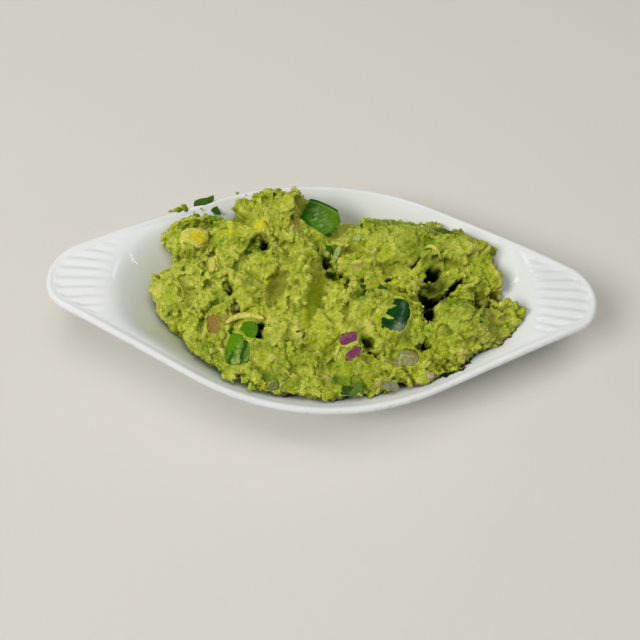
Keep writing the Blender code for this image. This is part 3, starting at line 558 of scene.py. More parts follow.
def broken_faces(points, size, seed):
    """Height from -1 to 1 of torn clumps, and a share that is the same all over one clump.

    Space is split between the centres of a jittered lattice. Each clump is a tilted flat face at
    its own level, so that neighbours meet in steps, and its border is rounded down.
    """
    at = np.asarray(points) / size
    cell = np.floor(at)
    nearest = np.full(at.shape[:-1], 9.0)
    second, level, owner = nearest.copy(), np.zeros(nearest.shape), np.zeros(nearest.shape)
    for corner in np.ndindex(3, 3, 3):
        there = cell + np.array(corner) - 1
        shares = [hashed(there, seed + 11 * k) for k in range(7)]
        centre = there + 0.5 + 0.8 * (np.stack(shares[:3], -1) - 0.5)
        away = at - centre
        distance = np.linalg.norm(away, axis=-1)
        tilt = np.sum(away * (np.stack(shares[3:6], -1) * 2 - 1), axis=-1)
        wins = distance < nearest
        second = np.where(wins, nearest, np.minimum(second, distance))
        level = np.where(wins, shares[6] * 2 - 1 + 1.3 * tilt, level)
        owner = np.where(wins, hashed(there, seed + 303), owner)
        nearest = np.where(wins, distance, nearest)
    return 0.6 * level - 0.5 * np.clip(1 - (second - nearest) / 0.18, 0, 1) ** 2, owner


def billows(points, size, seed):
    """Height from -1 to 1 of soft swellings between creases: smooth noise without its sign."""
    height = 3 * np.abs(smooth_noise(points, size, seed)) - 0.9
    return height, height


def strokes(points):
    """Height of the ridges drawn by the spoon: noise stretched 4.5 times along each stroke."""
    height = np.zeros(points.shape[:-1])
    for number, (_, cx, cy, half_length, half_width, direction, pitch, rise) in enumerate(STROKES):
        along, across = turned(points[..., 0], points[..., 1], cx, cy, direction)
        bent = across + 0.04 * along**2 / half_length * (-1) ** number
        drawn = np.stack([along / 4.5, bent, points[..., 2] * 0.6 + 9.0 * number], -1)
        here = patch(points[..., 0], points[..., 1], cx, cy, half_length, half_width, direction, 1.5)
        height += rise * here * (1 - 2.6 * np.abs(smooth_noise(drawn, pitch, 151 + number)))
    return height


def crests(points, size, seed):
    """Height from -1 to 1 of torn crests between hollows: the billows turned over."""
    height = 1 - 3.5 * np.abs(smooth_noise(points, size, seed))
    return height, height


# ---- dish and heap formulas


def oval_radius(angle, half_length, half_width, tip_radius, side_radius):
    """Distance from the centre to an oval of tip arcs, side arcs and their common tangents."""
    across, along = np.abs(np.sin(angle)), np.abs(np.cos(angle))
    tip = half_length - tip_radius
    side = half_width - side_radius
    lean = math.atan2(-side, tip) + math.acos((side_radius - tip_radius) / math.hypot(tip, side))
    tip_end = math.atan2(tip_radius * math.sin(lean), tip + tip_radius * math.cos(lean))
    side_start = math.atan2(side + side_radius * math.sin(lean), side_radius * math.cos(lean))
    bearing = np.arctan2(across, along)
    on_tip = tip * along + np.sqrt(np.maximum(tip_radius**2 - (tip * across) ** 2, 0))
    on_side = side * across + np.sqrt(side_radius**2 - (side * along) ** 2)
    on_tangent = (tip * math.cos(lean) + tip_radius) / np.cos(lean - np.minimum(bearing, side_start))
    return np.where(bearing < tip_end, on_tip, np.where(bearing > side_start, on_side, on_tangent))


def inset(oval, distance):
    """The oval that runs a given distance inside another."""
    return tuple(size - distance for size in oval)


def rim_height(x):
    """The rim rises by 2s - s^2 to the root of each handle, with s the square of x over that root."""
    share = (x / HANDLE_ROOT) ** 2
    return RIM_HEIGHT + HANDLE_LIFT * (2 * share - share**2)


def well_fall(share, softness):
    """Share of the well's depth for a share of the wall's width: a slope with two rounded ends."""
    from_lip = (share + np.hypot(share, softness)) / 2
    fall = (from_lip + 1 - np.hypot(from_lip - 1, FLOOR_SOFTNESS)) / 2
    at_rim = (1 - math.hypot(1, FLOOR_SOFTNESS)) / 2
    return (fall - at_rim) / (1 - at_rim)


def dish_top(angle, radius):
    """Height of the dish's upper surface, without its bead and flutes."""
    mouth = oval_radius(angle, *WELL_MOUTH)
    floor = oval_radius(angle, *WELL_FLOOR)
    softness = SIDE_LIP_SOFTNESS + (END_LIP_SOFTNESS - SIDE_LIP_SOFTNESS) * np.cos(angle) ** 4
    fall = well_fall((mouth - radius) / (mouth - floor), softness)
    rim = rim_height(radius * np.cos(angle))
    return rim + (FLOOR_HEIGHT - rim) * fall


def on_wall(angle, share):
    """Radius at a share of the way down the well's wall."""
    mouth = oval_radius(angle, *WELL_MOUTH)
    return mouth + share * (oval_radius(angle, *WELL_FLOOR) - mouth)


def offset_surface(angle, radius, distance):
    """Radius and height of a point at a distance above the upper surface, square to it."""
    step = 0.5
    rise = (dish_top(angle, radius + step) - dish_top(angle, radius - step)) / (2 * step)
    length = np.hypot(1, rise)
    return radius - distance * rise / length, dish_top(angle, radius) + distance / length


def flute_depth(angle, radius, depth):
    """Depth of the fan of grooves: a cosine across each one, faded at the well and at the bead."""
    from_handle = np.abs(np.degrees(np.arctan(np.tan(angle))))
    wave = (1 - np.cos(2 * np.pi * (from_handle / FLUTE_ANGLE + 0.5 * FLUTES % 1))) / 2
    inner = np.clip((radius - FLUTE_START) / 9, 0, 1) ** 1.3
    outer = np.clip((oval_radius(angle, *inset(OUTLINE, BEAD_WIDTH)) - radius) / 2, 0, 1)
    across = np.clip((FLUTES / 2 * FLUTE_ANGLE - from_handle) / FLUTE_ANGLE + 0.5, 0, 1)
    return depth * wave * inner * outer * across


def ring(angle, radius, height):
    """One row of a loft: points at these angles, radii and heights."""
    points = np.broadcast_arrays(radius * np.cos(angle), radius * np.sin(angle), height)
    return np.stack(points, axis=-1)


def turned(x, y, centre_x, centre_y, direction):
    """Coordinates along and across a line through a centre."""
    c, s = math.cos(math.radians(direction)), math.sin(math.radians(direction))
    u, v = x - centre_x, y - centre_y
    return u * c + v * s, v * c - u * s


def patch(x, y, centre_x, centre_y, half_length, half_width, direction, steepness=1.0):
    """1 in the middle of an ellipse and falling to 0 outside it: exp(-(d^2)^steepness)."""
    along, across = turned(x, y, centre_x, centre_y, direction)
    return np.exp(-(((along / half_length) ** 2 + (across / half_width) ** 2) ** steepness))


def heap_surface(x, y):
    """Height of the heap before its edge is rounded down to the wall: Gaussian humps, summed."""
    height = np.full(np.shape(x), HEAP_LEVEL)
    for _, *place, rise in HEAP_FORMS:
        height = height + rise * patch(x, y, *place, 0.0)
    return height


def bumps_round(angle, forms):
    """Sum of Gaussian bumps in direction: change * exp(-(angle away / spread)^2)."""
    total = np.zeros(np.shape(angle))
    for direction, spread, change in forms:
        away = (np.degrees(angle) - direction + 180) % 360 - 180
        total = total + change * np.exp(-((away / spread) ** 2))
    return total


def heap_edge(angle, gaps=()):
    """Radius and height of the line where the heap meets the well's wall."""
    share = EDGE_FALL + bumps_round(angle, [form[1:] for form in EDGE_FORMS + EDGE_CHANGES] + list(gaps))
    return offset_surface(angle, on_wall(angle, np.clip(share, *EDGE_LIMITS)), SEAT_CLEARANCE)


# ---- meshes


def grid_quads(rows, columns, wraps):
    """Corner numbers of the quads of a grid of points, whose last column may join its first."""
    numbers = np.arange(rows * columns).reshape(rows, columns)
    low, high = numbers[:-1], numbers[1:]
    if wraps:
        right_low, right_high = np.roll(low, -1, 1), np.roll(high, -1, 1)
    else:
        low, high, right_low, right_high = low[:, :-1], high[:, :-1], low[:, 1:], high[:, 1:]
    return np.stack([low, right_low, right_high, high], -1).reshape(-1, 4)


def fan(row, hub, flip):
    """Triangles from a closed row of corner numbers to one hub."""
    after = np.roll(row, -1)
    first, second = (after, row) if flip else (row, after)
    return np.stack([first, second, np.full(len(row), hub)], -1)


def closed_loft(rows):
    """Points and faces of rings in order, with a fan to the mean of the first and last ring."""
    count, columns, _ = rows.shape
    points = np.concatenate([rows.reshape(-1, 3), rows[:1].mean(1), rows[-1:].mean(1)])
    first, last = np.arange(columns), np.arange(columns) + (count - 1) * columns
    faces = [
        grid_quads(count, columns, wraps=True).tolist(),
        fan(first, count * columns, flip=True).tolist(),
        fan(last, count * columns + 1, flip=False).tolist(),
    ]
    return points, [face for part in faces for face in part]


def joined(parts):
    """Points and faces of several shapes as one list."""
    points, faces, start = [], [], 0
    for part_points, part_faces in parts:
        points.append(part_points)
        faces += [[corner + start for corner in face] for face in part_faces]
        start += len(part_points)
    return np.concatenate(points), faces


def add_piece(name, points, faces, finishes, stands_for=(), colours=None, masks=None):
    """Makes an object at the origin from points in millimetres, and fixes it to the frame."""
    mesh = bpy.data.meshes.new(name)
    mesh.from_pydata(np.asarray(points, float) * MM, [], faces)
    mesh.shade_smooth()
    if colours is not None:
        tint = mesh.color_attributes.new("tint", "FLOAT_COLOR", "POINT")
        with_alpha = np.concatenate([colours, np.ones((len(colours), 1))], -1)
        tint.data.foreach_set("color", with_alpha.astype(np.float32).ravel())
    for mask_name, values in (masks or {}).items():
        mask = mesh.attributes.new(mask_name, "FLOAT", "POINT")
        mask.data.foreach_set("value", np.asarray(values, np.float32).ravel())
    for finish in finishes:
        mesh.materials.append(finish)
    made = bpy.data.objects.new(name, mesh)
    bpy.context.scene.collection.objects.link(made)
    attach(made, "root")
    if stands_for:
        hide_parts(*stands_for)
    return made


def add_parts(name, parts, tints, finish):
    """Makes one object of several shapes that each have their own colours."""
    points, faces = joined(parts)
    add_piece(name, points, faces, [finish], colours=np.concatenate(tints))


def unit(vectors):
    """Vectors of length one."""
    return vectors / np.maximum(np.linalg.norm(vectors, axis=-1, keepdims=True), 1e-9)


def grid_normals(points, blur):
    """Upward normals of a grid of points after it is blurred a number of times."""
    soft = np.stack([blurred(points[..., axis], blur) for axis in range(3)], -1)
    down_rows, along_columns = np.gradient(soft, axis=0), np.gradient(soft, axis=1)
    return unit(np.cross(along_columns, down_rows))


def blurred(values, times):
    """A grid averaged with its four neighbours a number of times, its border repeated."""
    for _ in range(times):
        wide = np.pad(values, 1, mode="edge")
        around = wide[:-2, 1:-1] + wide[2:, 1:-1] + wide[1:-1, :-2] + wide[1:-1, 2:]
        values = (values * 2 + around) / 6
    return values


# ---- materials


def add_node(tree, kind, links=None, **settings):
    """Adds a node, sets its properties or unlinked sockets by name, and links its inputs."""
    made = tree.nodes.new(kind)
    for key, value in settings.items():
        if hasattr(made, key):
            setattr(made, key, value)
        else:
            made.inputs[key.replace("_", " ")].default_value = value
    for socket, source in (links or {}).items():
        tree.links.new(source, made.inputs[socket])
    return made


def new_material(name, **settings):
    """An empty material with a Principled shader whose even values are set on its sockets."""
    made = bpy.data.materials.new(name)
    made.use_nodes = True
    shader = made.node_tree.nodes["Principled BSDF"]
    for key, value in settings.items():
        shader.inputs[key.replace("_", " ")].default_value = value
    return made, made.node_tree, shader


def pattern(tree, size_mm, detail=2.0, kind="ShaderNodeTexNoise", stretch=(1, 1, 1), **settings):
    """A texture on Object coordinates whose features have a size in millimetres."""
    place = add_node(tree, "ShaderNodeTexCoord")
    scaled = add_node(tree, "ShaderNodeMapping", {"Vector": place.outputs["Object"]}, Scale=stretch)
    links = {"Vector": scaled.outputs[0]}
    made = add_node(tree, kind, links, Scale=1 / (size_mm * MM), **settings)
    if "Detail" in made.inputs:
        made.inputs["Detail"].default_value = detail
    return made


def ramp(tree, source, low, high, at_low=0.0, at_high=1.0):
    """A value mapped from a range to another, clamped."""
    links = {"Value": source}
    made = add_node(tree, "ShaderNodeMapRange", links, From_Min=low, From_Max=high,
                    To_Min=at_low, To_Max=at_high)
    return made.outputs["Result"]


def mixed(tree, factor, first, second, blend="MIX"):
    """Two colours mixed by a value or a socket. A colour is a tuple or a socket."""
    made = add_node(tree, "ShaderNodeMix", data_type="RGBA", blend_type=blend)
    for socket, value in ((made.inputs[0], factor), (made.inputs[6], first), (made.inputs[7], second)):
        if isinstance(value, bpy.types.NodeSocket):
            tree.links.new(value, socket)
        else:
            socket.default_value = (*value, 1) if isinstance(value, tuple) else value
    return made.outputs[2]


def bump(tree, shader, height, strength, depth_mm):
    """A bump of a given depth on the shader."""
    made = add_node(tree, "ShaderNodeBump", {"Height": height}, Strength=strength, Distance=depth_mm * MM)
    tree.links.new(made.outputs[0], shader.inputs["Normal"])
    return made


def glazed_porcelain(look):
    """Porcelain under a clear fired glaze: white, very glossy, with a few iron specks.

    The glaze is thin where it ran off the lip, so the edge looks warmer and duller.
    """
    made, tree, shader = new_material("Glazed porcelain", IOR=1.52, Coat_Weight=0.0)
    worn = add_node(tree, "ShaderNodeAttribute", attribute_name="worn_edge")
    clouds = pattern(tree, 28.0, 1.0)
    body = mixed(tree, ramp(tree, clouds.outputs[0], 0.35, 0.65), tuple(look.glaze), tuple(look.glaze_shade))
    grime = pattern(tree, 3.0, 3.0)
    rubbed = ramp(tree, grime.outputs[0], 0.55, 0.8)
    grime_here = add_node(tree, "ShaderNodeMath", {0: worn.outputs["Fac"], 1: rubbed}, operation="MULTIPLY")
    body = mixed(tree, grime_here.outputs[0], body, tuple(look.worn_edge))
    specks = pattern(tree, look.speck_spacing / MM, kind="ShaderNodeTexVoronoi", Randomness=1.0)
    speck = ramp(tree, specks.outputs["Distance"], 0.022, 0.034, 1.0, 0.0)
    body = mixed(tree, speck, body, tuple(look.speck))
    tree.links.new(body, shader.inputs["Base Color"])
    ripple = pattern(tree, 9.0, 1.0)
    tree.links.new(ramp(tree, ripple.outputs[0], 0.3, 0.7, 0.06, 0.12), shader.inputs["Roughness"])
    bump(tree, shader, ripple.outputs[0], 0.12, 0.06)
    return made


def bare_porcelain():
    """Unglazed porcelain where the foot was wiped before firing: matt, faintly sandy and warm."""
    made, tree, shader = new_material("Bare porcelain foot", IOR=1.5)
    sand = pattern(tree, 0.5, 3.0)
    body = mixed(tree, ramp(tree, sand.outputs[0], 0.35, 0.65), linear("#d8d2c6"), linear("#bdb5a6"))
    tree.links.new(body, shader.inputs["Base Color"])
    tree.links.new(ramp(tree, sand.outputs[0], 0.3, 0.7, 0.6, 0.85), shader.inputs["Roughness"])
    bump(tree, shader, sand.outputs[0], 0.4, 0.1)
    return made


def wet_food(name, roughness, grain_mm, grain_depth, scatter, radius, scale_mm, gloss=0.0):
    """Moist vegetable flesh coloured by its tint attribute, mottled and grained by fine noise."""
    made, tree, shader = new_material(
        name, IOR=1.36, Specular_IOR_Level=0.35, Subsurface_Weight=scatter, Subsurface_Radius=radius,
        Subsurface_Scale=scale_mm * MM, Coat_Weight=gloss, Coat_Roughness=0.12,
    )
    tint = add_node(tree, "ShaderNodeAttribute", attribute_name="tint")
    grain = pattern(tree, grain_mm, 3.0)
    mottle = pattern(tree, grain_mm * 3.2, 2.0)
    shade = ramp(tree, grain.outputs[0], 0.28, 0.72, 0.72, 1.24)
    links = {0: tint.outputs["Color"], 1: shade}
    colour = add_node(tree, "ShaderNodeVectorMath", links, operation="MULTIPLY")
    patchy = ramp(tree, mottle.outputs[0], 0.45, 0.75, 0.0, 0.35)
    colour = mixed(tree, patchy, colour.outputs[0], (0.75, 0.86, 0.6), "MULTIPLY")
    tree.links.new(colour, shader.inputs["Base Color"])
    low, high = roughness
    tree.links.new(ramp(tree, mottle.outputs[0], 0.3, 0.7, low, high), shader.inputs["Roughness"])
    bump(tree, shader, grain.outputs[0], 0.5, grain_depth)
    return made


def mash_finish():
    """Avocado crushed with a fork: wet, fatty and grainy, so light sinks in and returns yellow."""
    return wet_food("Crushed avocado", (0.28, 0.5), 0.75, 0.32, 0.2, (1.0, 0.9, 0.2), 1.4)


def firm_finish():
    """Cut ripe avocado: denser and waxier than the mash, with a soft sheen."""
    return wet_food("Firm avocado", (0.30, 0.48), 0.9, 0.10, 0.3, (1.0, 0.8, 0.25), 2.0)


def pepper_finish():
    """Diced green chilli: crisp wet flesh under a waxed skin, glossy on its outside."""
    return wet_food("Green pepper", (0.28, 0.48), 0.8, 0.16, 0.15, (0.5, 1.0, 0.1), 1.0, 0.05)


def skin_finish():
    """The waxy cuticle of a dark green chilli: almost black green with sharp highlights."""
    return wet_food("Pepper skin", (0.16, 0.30), 1.4, 0.03, 0.1, (0.3, 1.0, 0.2), 1.0, 0.35)


def onion_finish(name):
    """Diced onion: juicy translucent layers with fine parallel veins."""
    return wet_food(name, (0.28, 0.50), 0.9, 0.10, 0.3, (1.0, 0.75, 0.6), 1.5, 0.05)


def leaf_finish():
    """Chopped cilantro: thin, dark, slightly waxy leaf, bruised by the knife."""
    return wet_food("Cilantro leaf", (0.30, 0.50), 0.6, 0.05, 0.15, (0.4, 1.0, 0.15), 0.6, 0.1)


def floor_finish(look):
    """Matt painted studio sheet: pale and even, with a trace of roller texture."""
    made, tree, shader = new_material("Matt studio sheet", IOR=1.45)
    nap = pattern(tree, 2.5, 2.0)
    darker = tuple(c * 0.96 for c in look.floor)
    body = mixed(tree, ramp(tree, nap.outputs[0], 0.3, 0.7, 0.0, 0.25), tuple(look.floor), darker)
    tree.links.new(body, shader.inputs["Base Color"])
    shader.inputs["Roughness"].default_value = 0.75
    return made


# ---- properties


class DishLook(bpy.types.PropertyGroup):
    """Glaze and flutes of the dish."""

    glaze: colour_property("Glaze", "Colour of the glazed porcelain", "#eceef0")
    glaze_shade: colour_property("Glaze shade", "Colour where the glaze pools", "#e6e9ea")
    worn_edge: colour_property("Worn edge", "Colour of the lip's thin, rubbed edge", "#c9c4b8")
    speck: colour_property("Speck", "Colour of the iron specks in the glaze", "#8f8f8c")
    speck_spacing: bpy.props.FloatProperty(
        name="Speck spacing", description="Distance between specks in the glaze",
        default=14.0 * MM, min=1.0 * MM, unit="LENGTH", subtype="DISTANCE")
    flute_depth: bpy.props.FloatProperty(
        name="Flute depth", description="Depth of the grooves on the handles",
        default=0.8 * MM, min=0, unit="LENGTH", subtype="DISTANCE")


class MashLook(bpy.types.PropertyGroup):
    """Colours of the crushed avocado, with its painted shade and highlight."""

    green: colour_property("Green", "Main colour of the mash", "#9fae20")
    # Paler lumps, and also the painted highlight on raised lumps and on the lit left side.
    light: colour_property("Light green", "Colour of raised, aerated lumps", "#cfd35c")
    yellow: colour_property("Yellow", "Colour of firm avocado near the stone", "#d0ca22")
    firm: colour_property("Firm lumps", "Colour of the uncrushed lumps", "#d8d068")
    olive: colour_property("Olive", "Colour of dense or sheared mash", "#788a10")
    olive_brown: colour_property("Olive brown", "Colour of smeared, oily mash", "#a6a53a")
    brown: colour_property("Brown", "Colour of mash that air has browned", "#98834a")
    # Darker green for random blotches and for painted shade under lumps, in creases, on the front and right.
    green_shade: colour_property("Green shade", "Colour where herb juice has stained", "#5f8218")
    # Painted shade inside cracks and hollows, on the tucked edge and on the hidden underside.
    crack_shade: colour_property("Deep green", "Colour inside cracks", "#2a3806")
    # Painted shadow, almost black, in the deepest holes and slits.
    gap: colour_property("Gaps", "Colour of the deepest gaps", "#0b0f02")
    relief: bpy.props.FloatProperty(
        name="Relief", description="How strongly the lumps stand out", default=1.0, min=0, max=2)


class ToppingLook(bpy.types.PropertyGroup):
    """Colours of the pepper, onion, avocado chunk and cilantro."""

    pepper: colour_property("Pepper flesh", "Colour of the pepper's flesh", "#608a0a")
    pepper_rib: colour_property("Pepper rib", "Colour of the pale ribs inside the pepper", "#a8bc70")
    pepper_edge: colour_property("Pepper skin", "Colour of the pepper's skin", "#2e6a04")
    pepper_dark: colour_property("Dark pepper skin", "Colour of the dark pepper's skin", "#0a3a04")
    onion_red: colour_property("Red onion", "Colour of the red onion's layers", "#84405e")
    onion_pith: colour_property("Onion pith", "Pale colour between the red layers", "#cfa7ad")
    onion_pale: colour_property("Pale onion", "Colour of the white onion", "#a5a56c")
    onion_tan: colour_property("Tan onion", "Colour of the browned onion", "#a08a44")
    avocado: colour_property("Avocado", "Colour of the firm avocado chunk", "#c9bb16")
    bit_green: colour_property("Green bit", "Colour of pepper bits deep in the mash", "#5f7a30")
    bit_grey: colour_property("Clear onion bit", "Colour of clear onion in shade", "#8d8f70")
    bit_pale: colour_property("Pale bit", "Colour of pale onion bits", "#a9b868")
    bit_grey_green: colour_property("Grey-green bit", "Colour of dull herb stalks", "#6f7f4a")
    leaf: colour_property("Leaf", "Colour of the cilantro", "#2c5008")
    leaf_light: colour_property("Leaf back", "Colour of the cilantro's underside", "#4e6e1e")


class StageLook(bpy.types.PropertyGroup):
    """Floor and camera."""

    floor: colour_property("Floor", "Colour of the studio sheet", "#dedbd4")
    camera_place: bpy.props.FloatVectorProperty(
        name="Camera place", description="Where the camera stands", size=3,
        subtype="TRANSLATION", unit="LENGTH", default=(-2.3 * MM, -146.7 * MM, 305.1 * MM))
    focal_length: bpy.props.FloatProperty(
        name="Focal length", description="Focal length in millimetres on a 36 mm sensor",
        default=36.45, min=1)


# ---- dish


def dish_columns():
    """Directions of the dish's columns: ten to a flute on the handles, even along the sides."""
    half_handle = FLUTES * FLUTE_ANGLE / 2
    handle = np.linspace(-half_handle, half_handle, 10 * FLUTES + 1)[:-1]
    side = np.linspace(half_handle, 180 - half_handle, 151)[:-1]
    half_turn = np.concatenate([handle, side])
    return np.radians(np.concatenate([half_turn, half_turn + 180]))


def dish_rows(depth):
    """Rings from the foot's middle over the lip to the floor's middle, and the lip's wear."""
    angle = dish_columns()
    foot = oval_radius(angle, *FOOT)
    inner_foot = foot - FOOT_RING_WIDTH
    rows, wear = [], []

    def add(radius, height, worn=0.0):
        """Adds one ring and its wear."""
        rows.append(ring(angle, radius, height))
        wear.append(np.broadcast_to(worn, angle.shape))

    for share in np.linspace(0.12, 0.97, 6):
        add(share * inner_foot, FOOT_RECESS)
    for turn in np.radians(np.linspace(0, 90, 4)):
        add(inner_foot + 0.5 * math.sin(turn), FOOT_RECESS * math.cos(turn) ** 2)
    for share in (0.3, 0.6):
        add(inner_foot + 0.5 + share * (FOOT_RING_WIDTH - 1.1), 0.0)
    under = dish_top(angle, foot) - WALL
    for turn in np.radians(np.linspace(0, 90, 4)):
        add(foot - 0.6 + 0.6 * math.sin(turn), 0.6 * (1 - math.cos(turn)))
    add(foot + 0.6, under)
    for share in np.linspace(0.94, 0.14, 22):
        add(*offset_surface(angle, on_wall(angle, share), -WALL))
    outline = oval_radius(angle, *OUTLINE)
    under_lip = on_wall(angle, 0.14) + WALL
    lip_radius = BEAD_WIDTH / 2
    for share in np.linspace(0.2, 1.0, 9):
        radius = under_lip + share * (outline - lip_radius - under_lip)
        add(radius, rim_height(radius * np.cos(angle)) - WALL)
    for turn in np.radians(np.linspace(-75, 90, 12)):
        radius = oval_radius(angle, *inset(OUTLINE, lip_radius * (1 - math.cos(turn))))
        middle = (BEAD_RISE - WALL) / 2
        rise = middle + (BEAD_RISE + WALL) / 2 * math.sin(turn)
        add(radius, dish_top(angle, radius) + rise, math.exp(-((math.degrees(turn) - 20) / 32) ** 2))
    for share in np.linspace(0.15, 1.0, 6):
        radius = oval_radius(angle, *inset(OUTLINE, lip_radius * (1 + share)))
        add(radius, dish_top(angle, radius) + BEAD_RISE * (1 + math.cos(math.pi * share)) / 2)
    inside_bead, below_lip = radius, on_wall(angle, 0.1)
    for share in np.linspace(0.03, 1.0, 26):
        radius = inside_bead + share * (below_lip - inside_bead)
        add(radius, dish_top(angle, radius) - flute_depth(angle, radius, depth))
    for share in np.linspace(0.13, 1.15, 30):
        radius = on_wall(angle, share)
        add(radius, dish_top(angle, radius))
    for share in np.linspace(0.8, 0.1, 6):
        radius = share * on_wall(angle, 1.15)
        add(radius, dish_top(angle, radius))
    return np.array(rows), np.array(wear)


class GUACAMOLE_OT_dish(bpy.types.Operator):
    """Lofts the rarebit dish: foot, wall, fluted handles, rolled lip and well"""

    bl_idname = "guacamole.dish"
    bl_label = "Porcelain Dish"

    def execute(self, context):
        look = context.scene.guacamole_dish
        rows, wear = dish_rows(look.flute_depth / MM)
        points, faces = closed_loft(rows)
        worn = np.concatenate([wear.ravel(), [0, 0]])
        dish = add_piece("rarebit_dish", points, faces, [glazed_porcelain(look), bare_porcelain()],
                         ["dish"], masks={"worn_edge": worn})
        low = np.array([max(points[corner, 2] for corner in face) for face in faces])
        dish.data.polygons.foreach_set("material_index", (low < 0.35).astype(np.int32))
        return {"FINISHED"}


# ---- places of the larger pieces


@functools.lru_cache(maxsize=None)
def node_points(node):
    """Corner points of a CAD node, in millimetres."""
    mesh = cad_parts[node].data
    flat = np.empty(len(mesh.vertices) * 3, np.float32)
    mesh.vertices.foreach_get("co", flat)
    return flat.reshape(-1, 3).astype(float) / MM


def axes_on(up, direction):
    """Axes of a piece: its width follows a direction as far as it can, square to its own up."""
    towards = np.array([math.cos(math.radians(direction)), math.sin(math.radians(direction)), 0])
    wide = unit(towards - up * (towards @ up))
    return np.stack([wide, np.cross(up, wide), up])


@functools.lru_cache(maxsize=None)
def slab_axes(node, direction):
    """Middle and axes of a CAD slab: its thinnest spread is up, its width follows a direction."""
    points = node_points(node)
    middle = points.mean(0)
    _, spreads = np.linalg.eigh(np.cov((points - middle).T))
    return middle, axes_on(spreads[:, 0] * np.sign(spreads[2, 0]), direction)


def near_slab(points, node, direction):
    """Points near a CAD slab in its own axes, which ones they are, and those axes."""
    middle, axes = slab_axes(node, direction)
    local = (points - middle) @ axes.T
    near = (np.abs(local) < SLAB_REACH).all(axis=-1)
    return local[near], near, axes


# ---- mash


def heap_top(x, y):
    """Height of the heap, levelled so that each cut piece lies in its surface."""
    correction, weights = np.zeros(np.shape(x)), np.full(np.shape(x), 1e-6)
    for node, direction, _, _, lift, *_ in SLABS:
        middle, _ = slab_axes(node, direction)
        near = patch(x, y, middle[0], middle[1], 9, 9, 0.0)
        correction += near * (middle[2] - lift - heap_surface(middle[0], middle[1]))
        weights += near
    return heap_surface(x, y) + correction / np.maximum(weights, 1)


def heap_grid(reach, angle):
    """Grid of the heap without its relief: a rounded body and an edge that tucks in under it.

    The body runs to nearly the heap's outline and falls by sqrt(1 - share^7). The last twentieth of
    the grid runs back in and down to the wall, so that a dark gap shows under the mash.
    """
    body, tuck = np.clip(reach / TUCK, 0, 1), np.clip((reach - TUCK) / (1 - TUCK), 0, 1)
    edge, foot = heap_edge(angle)
    low_edge, low_foot = heap_edge(angle, EDGE_GAPS)
    share = 1 - (1 - body) ** EDGE_CROWDING
    radius = (BODY_REACH - GAP_REACH * bumps_round(angle, EDGE_GAPS[1:])) * edge * share
    x, y = radius * np.cos(angle), radius * np.sin(angle)
    rise, sunk = spoon_forms(x, y)
    height = foot + EDGE_LIFT
    height = height + (heap_top(x, y) - height) * np.sqrt(1 - share**EDGE_ROUNDING)
    height = height + rise * (1 - np.clip((body - 0.94) / 0.06, 0, 1) ** 2)
    points = ring(angle, radius + (low_edge - radius) * tuck, height + (low_foot - height) * tuck)
    # The tucked edge counts as fully hollow, so that it is painted as shadow in the gap under the mash.
    return points, np.maximum(sunk, tuck)


def disc_grid(rows, columns):
    """Even grid on a disc of radius 1: a square squeezed by x*sqrt(1-y^2/2), y*sqrt(1-x^2/2)."""
    y, x = np.meshgrid(np.linspace(-1, 1, rows), np.linspace(-1, 1, columns), indexing="ij")
    return x * np.sqrt(1 - y**2 / 2), y * np.sqrt(1 - x**2 / 2)


def spoon_forms(x, y):
    """Rise of the sharper forms, ellipses whose two sides have their own widths, and their depth."""
    rise, sunk = np.zeros(np.shape(x)), np.zeros(np.shape(x))
    for _, cx, cy, half_length, left, right, direction, height, steepness in SPOON_FORMS:
        along, across = turned(x, y, cx, cy, direction)
        width = np.where(across > 0, left, right)
        distance = (along / half_length) ** 2 + (across / width) ** 2
        form = SPOON_RELIEF * height * np.exp(-(distance**steepness))
        rise += form
        # Share of painted crack shade where a form sinks deep.
        crack_shade = (-form - 1.2) / 3.5 if height < -4 else (-form - 2.2) / 5
        sunk = np.maximum(sunk, np.clip(crack_shade, 0, 1))
    for _, *place, height in FIRM_LUMPS:
        rise += height * patch(x, y, *place, 2.0)
    return rise, sunk


def stay_off_dish(points, gap):
    """Lifts points that would sink into the dish to a gap above its upper surface."""
    angle, radius = np.arctan2(points[..., 1], points[..., 0]), np.hypot(points[..., 0], points[..., 1])
    floor = dish_top(angle, radius) + gap
    lifted = points.copy()
    lifted[..., 2] = np.maximum(points[..., 2], floor)
    return lifted


def rounded_outline(corners, rounding, columns):
    """Anticlockwise points at even steps round a polygon, its corners rounded by a Gaussian blur."""
    corners = np.array(corners, float)
    after = np.roll(corners, -1, axis=0)
    if np.sum(corners[:, 0] * after[:, 1] - corners[:, 1] * after[:, 0]) < 0:
        corners = corners[::-1]
        after = np.roll(corners, -1, axis=0)
    ends = np.concatenate([[0], np.cumsum(np.linalg.norm(after - corners, axis=1))])
    at = np.linspace(0, ends[-1], columns, endpoint=False)
    loop = np.concatenate([corners, corners[:1]])
    line = np.interp(at, ends, loop[:, 0]) + 1j * np.interp(at, ends, loop[:, 1])
    waves = np.fft.fftfreq(columns, ends[-1] / columns)
    soft = np.fft.ifft(np.fft.fft(line) * np.exp(-2 * (np.pi * waves * rounding) ** 2))
    return np.stack([soft.real, soft.imag], -1)


def outside_outline(places, outline):
    """Distance of places outside a closed outline, and less than 0 inside it."""
    edge = np.roll(outline, -1, axis=0) - outline
    away = places[:, None] - outline
    along = np.clip(np.sum(away * edge, -1) / np.maximum(np.sum(edge**2, -1), 1e-9), 0, 1)
    distance = np.linalg.norm(away - along[..., None] * edge, axis=-1).min(axis=1)
    level = outline[:, 1] > places[:, 1:]
    crosses = level != (np.roll(outline[:, 1], -1) > places[:, 1:])
    slope = edge[:, 0] / np.where(np.abs(edge[:, 1]) < 1e-9, 1e-9, edge[:, 1])
    inside = np.sum(crosses & (slope * away[..., 1] > away[..., 0]), axis=1) % 2 == 1
    return np.where(inside, -distance, distance)


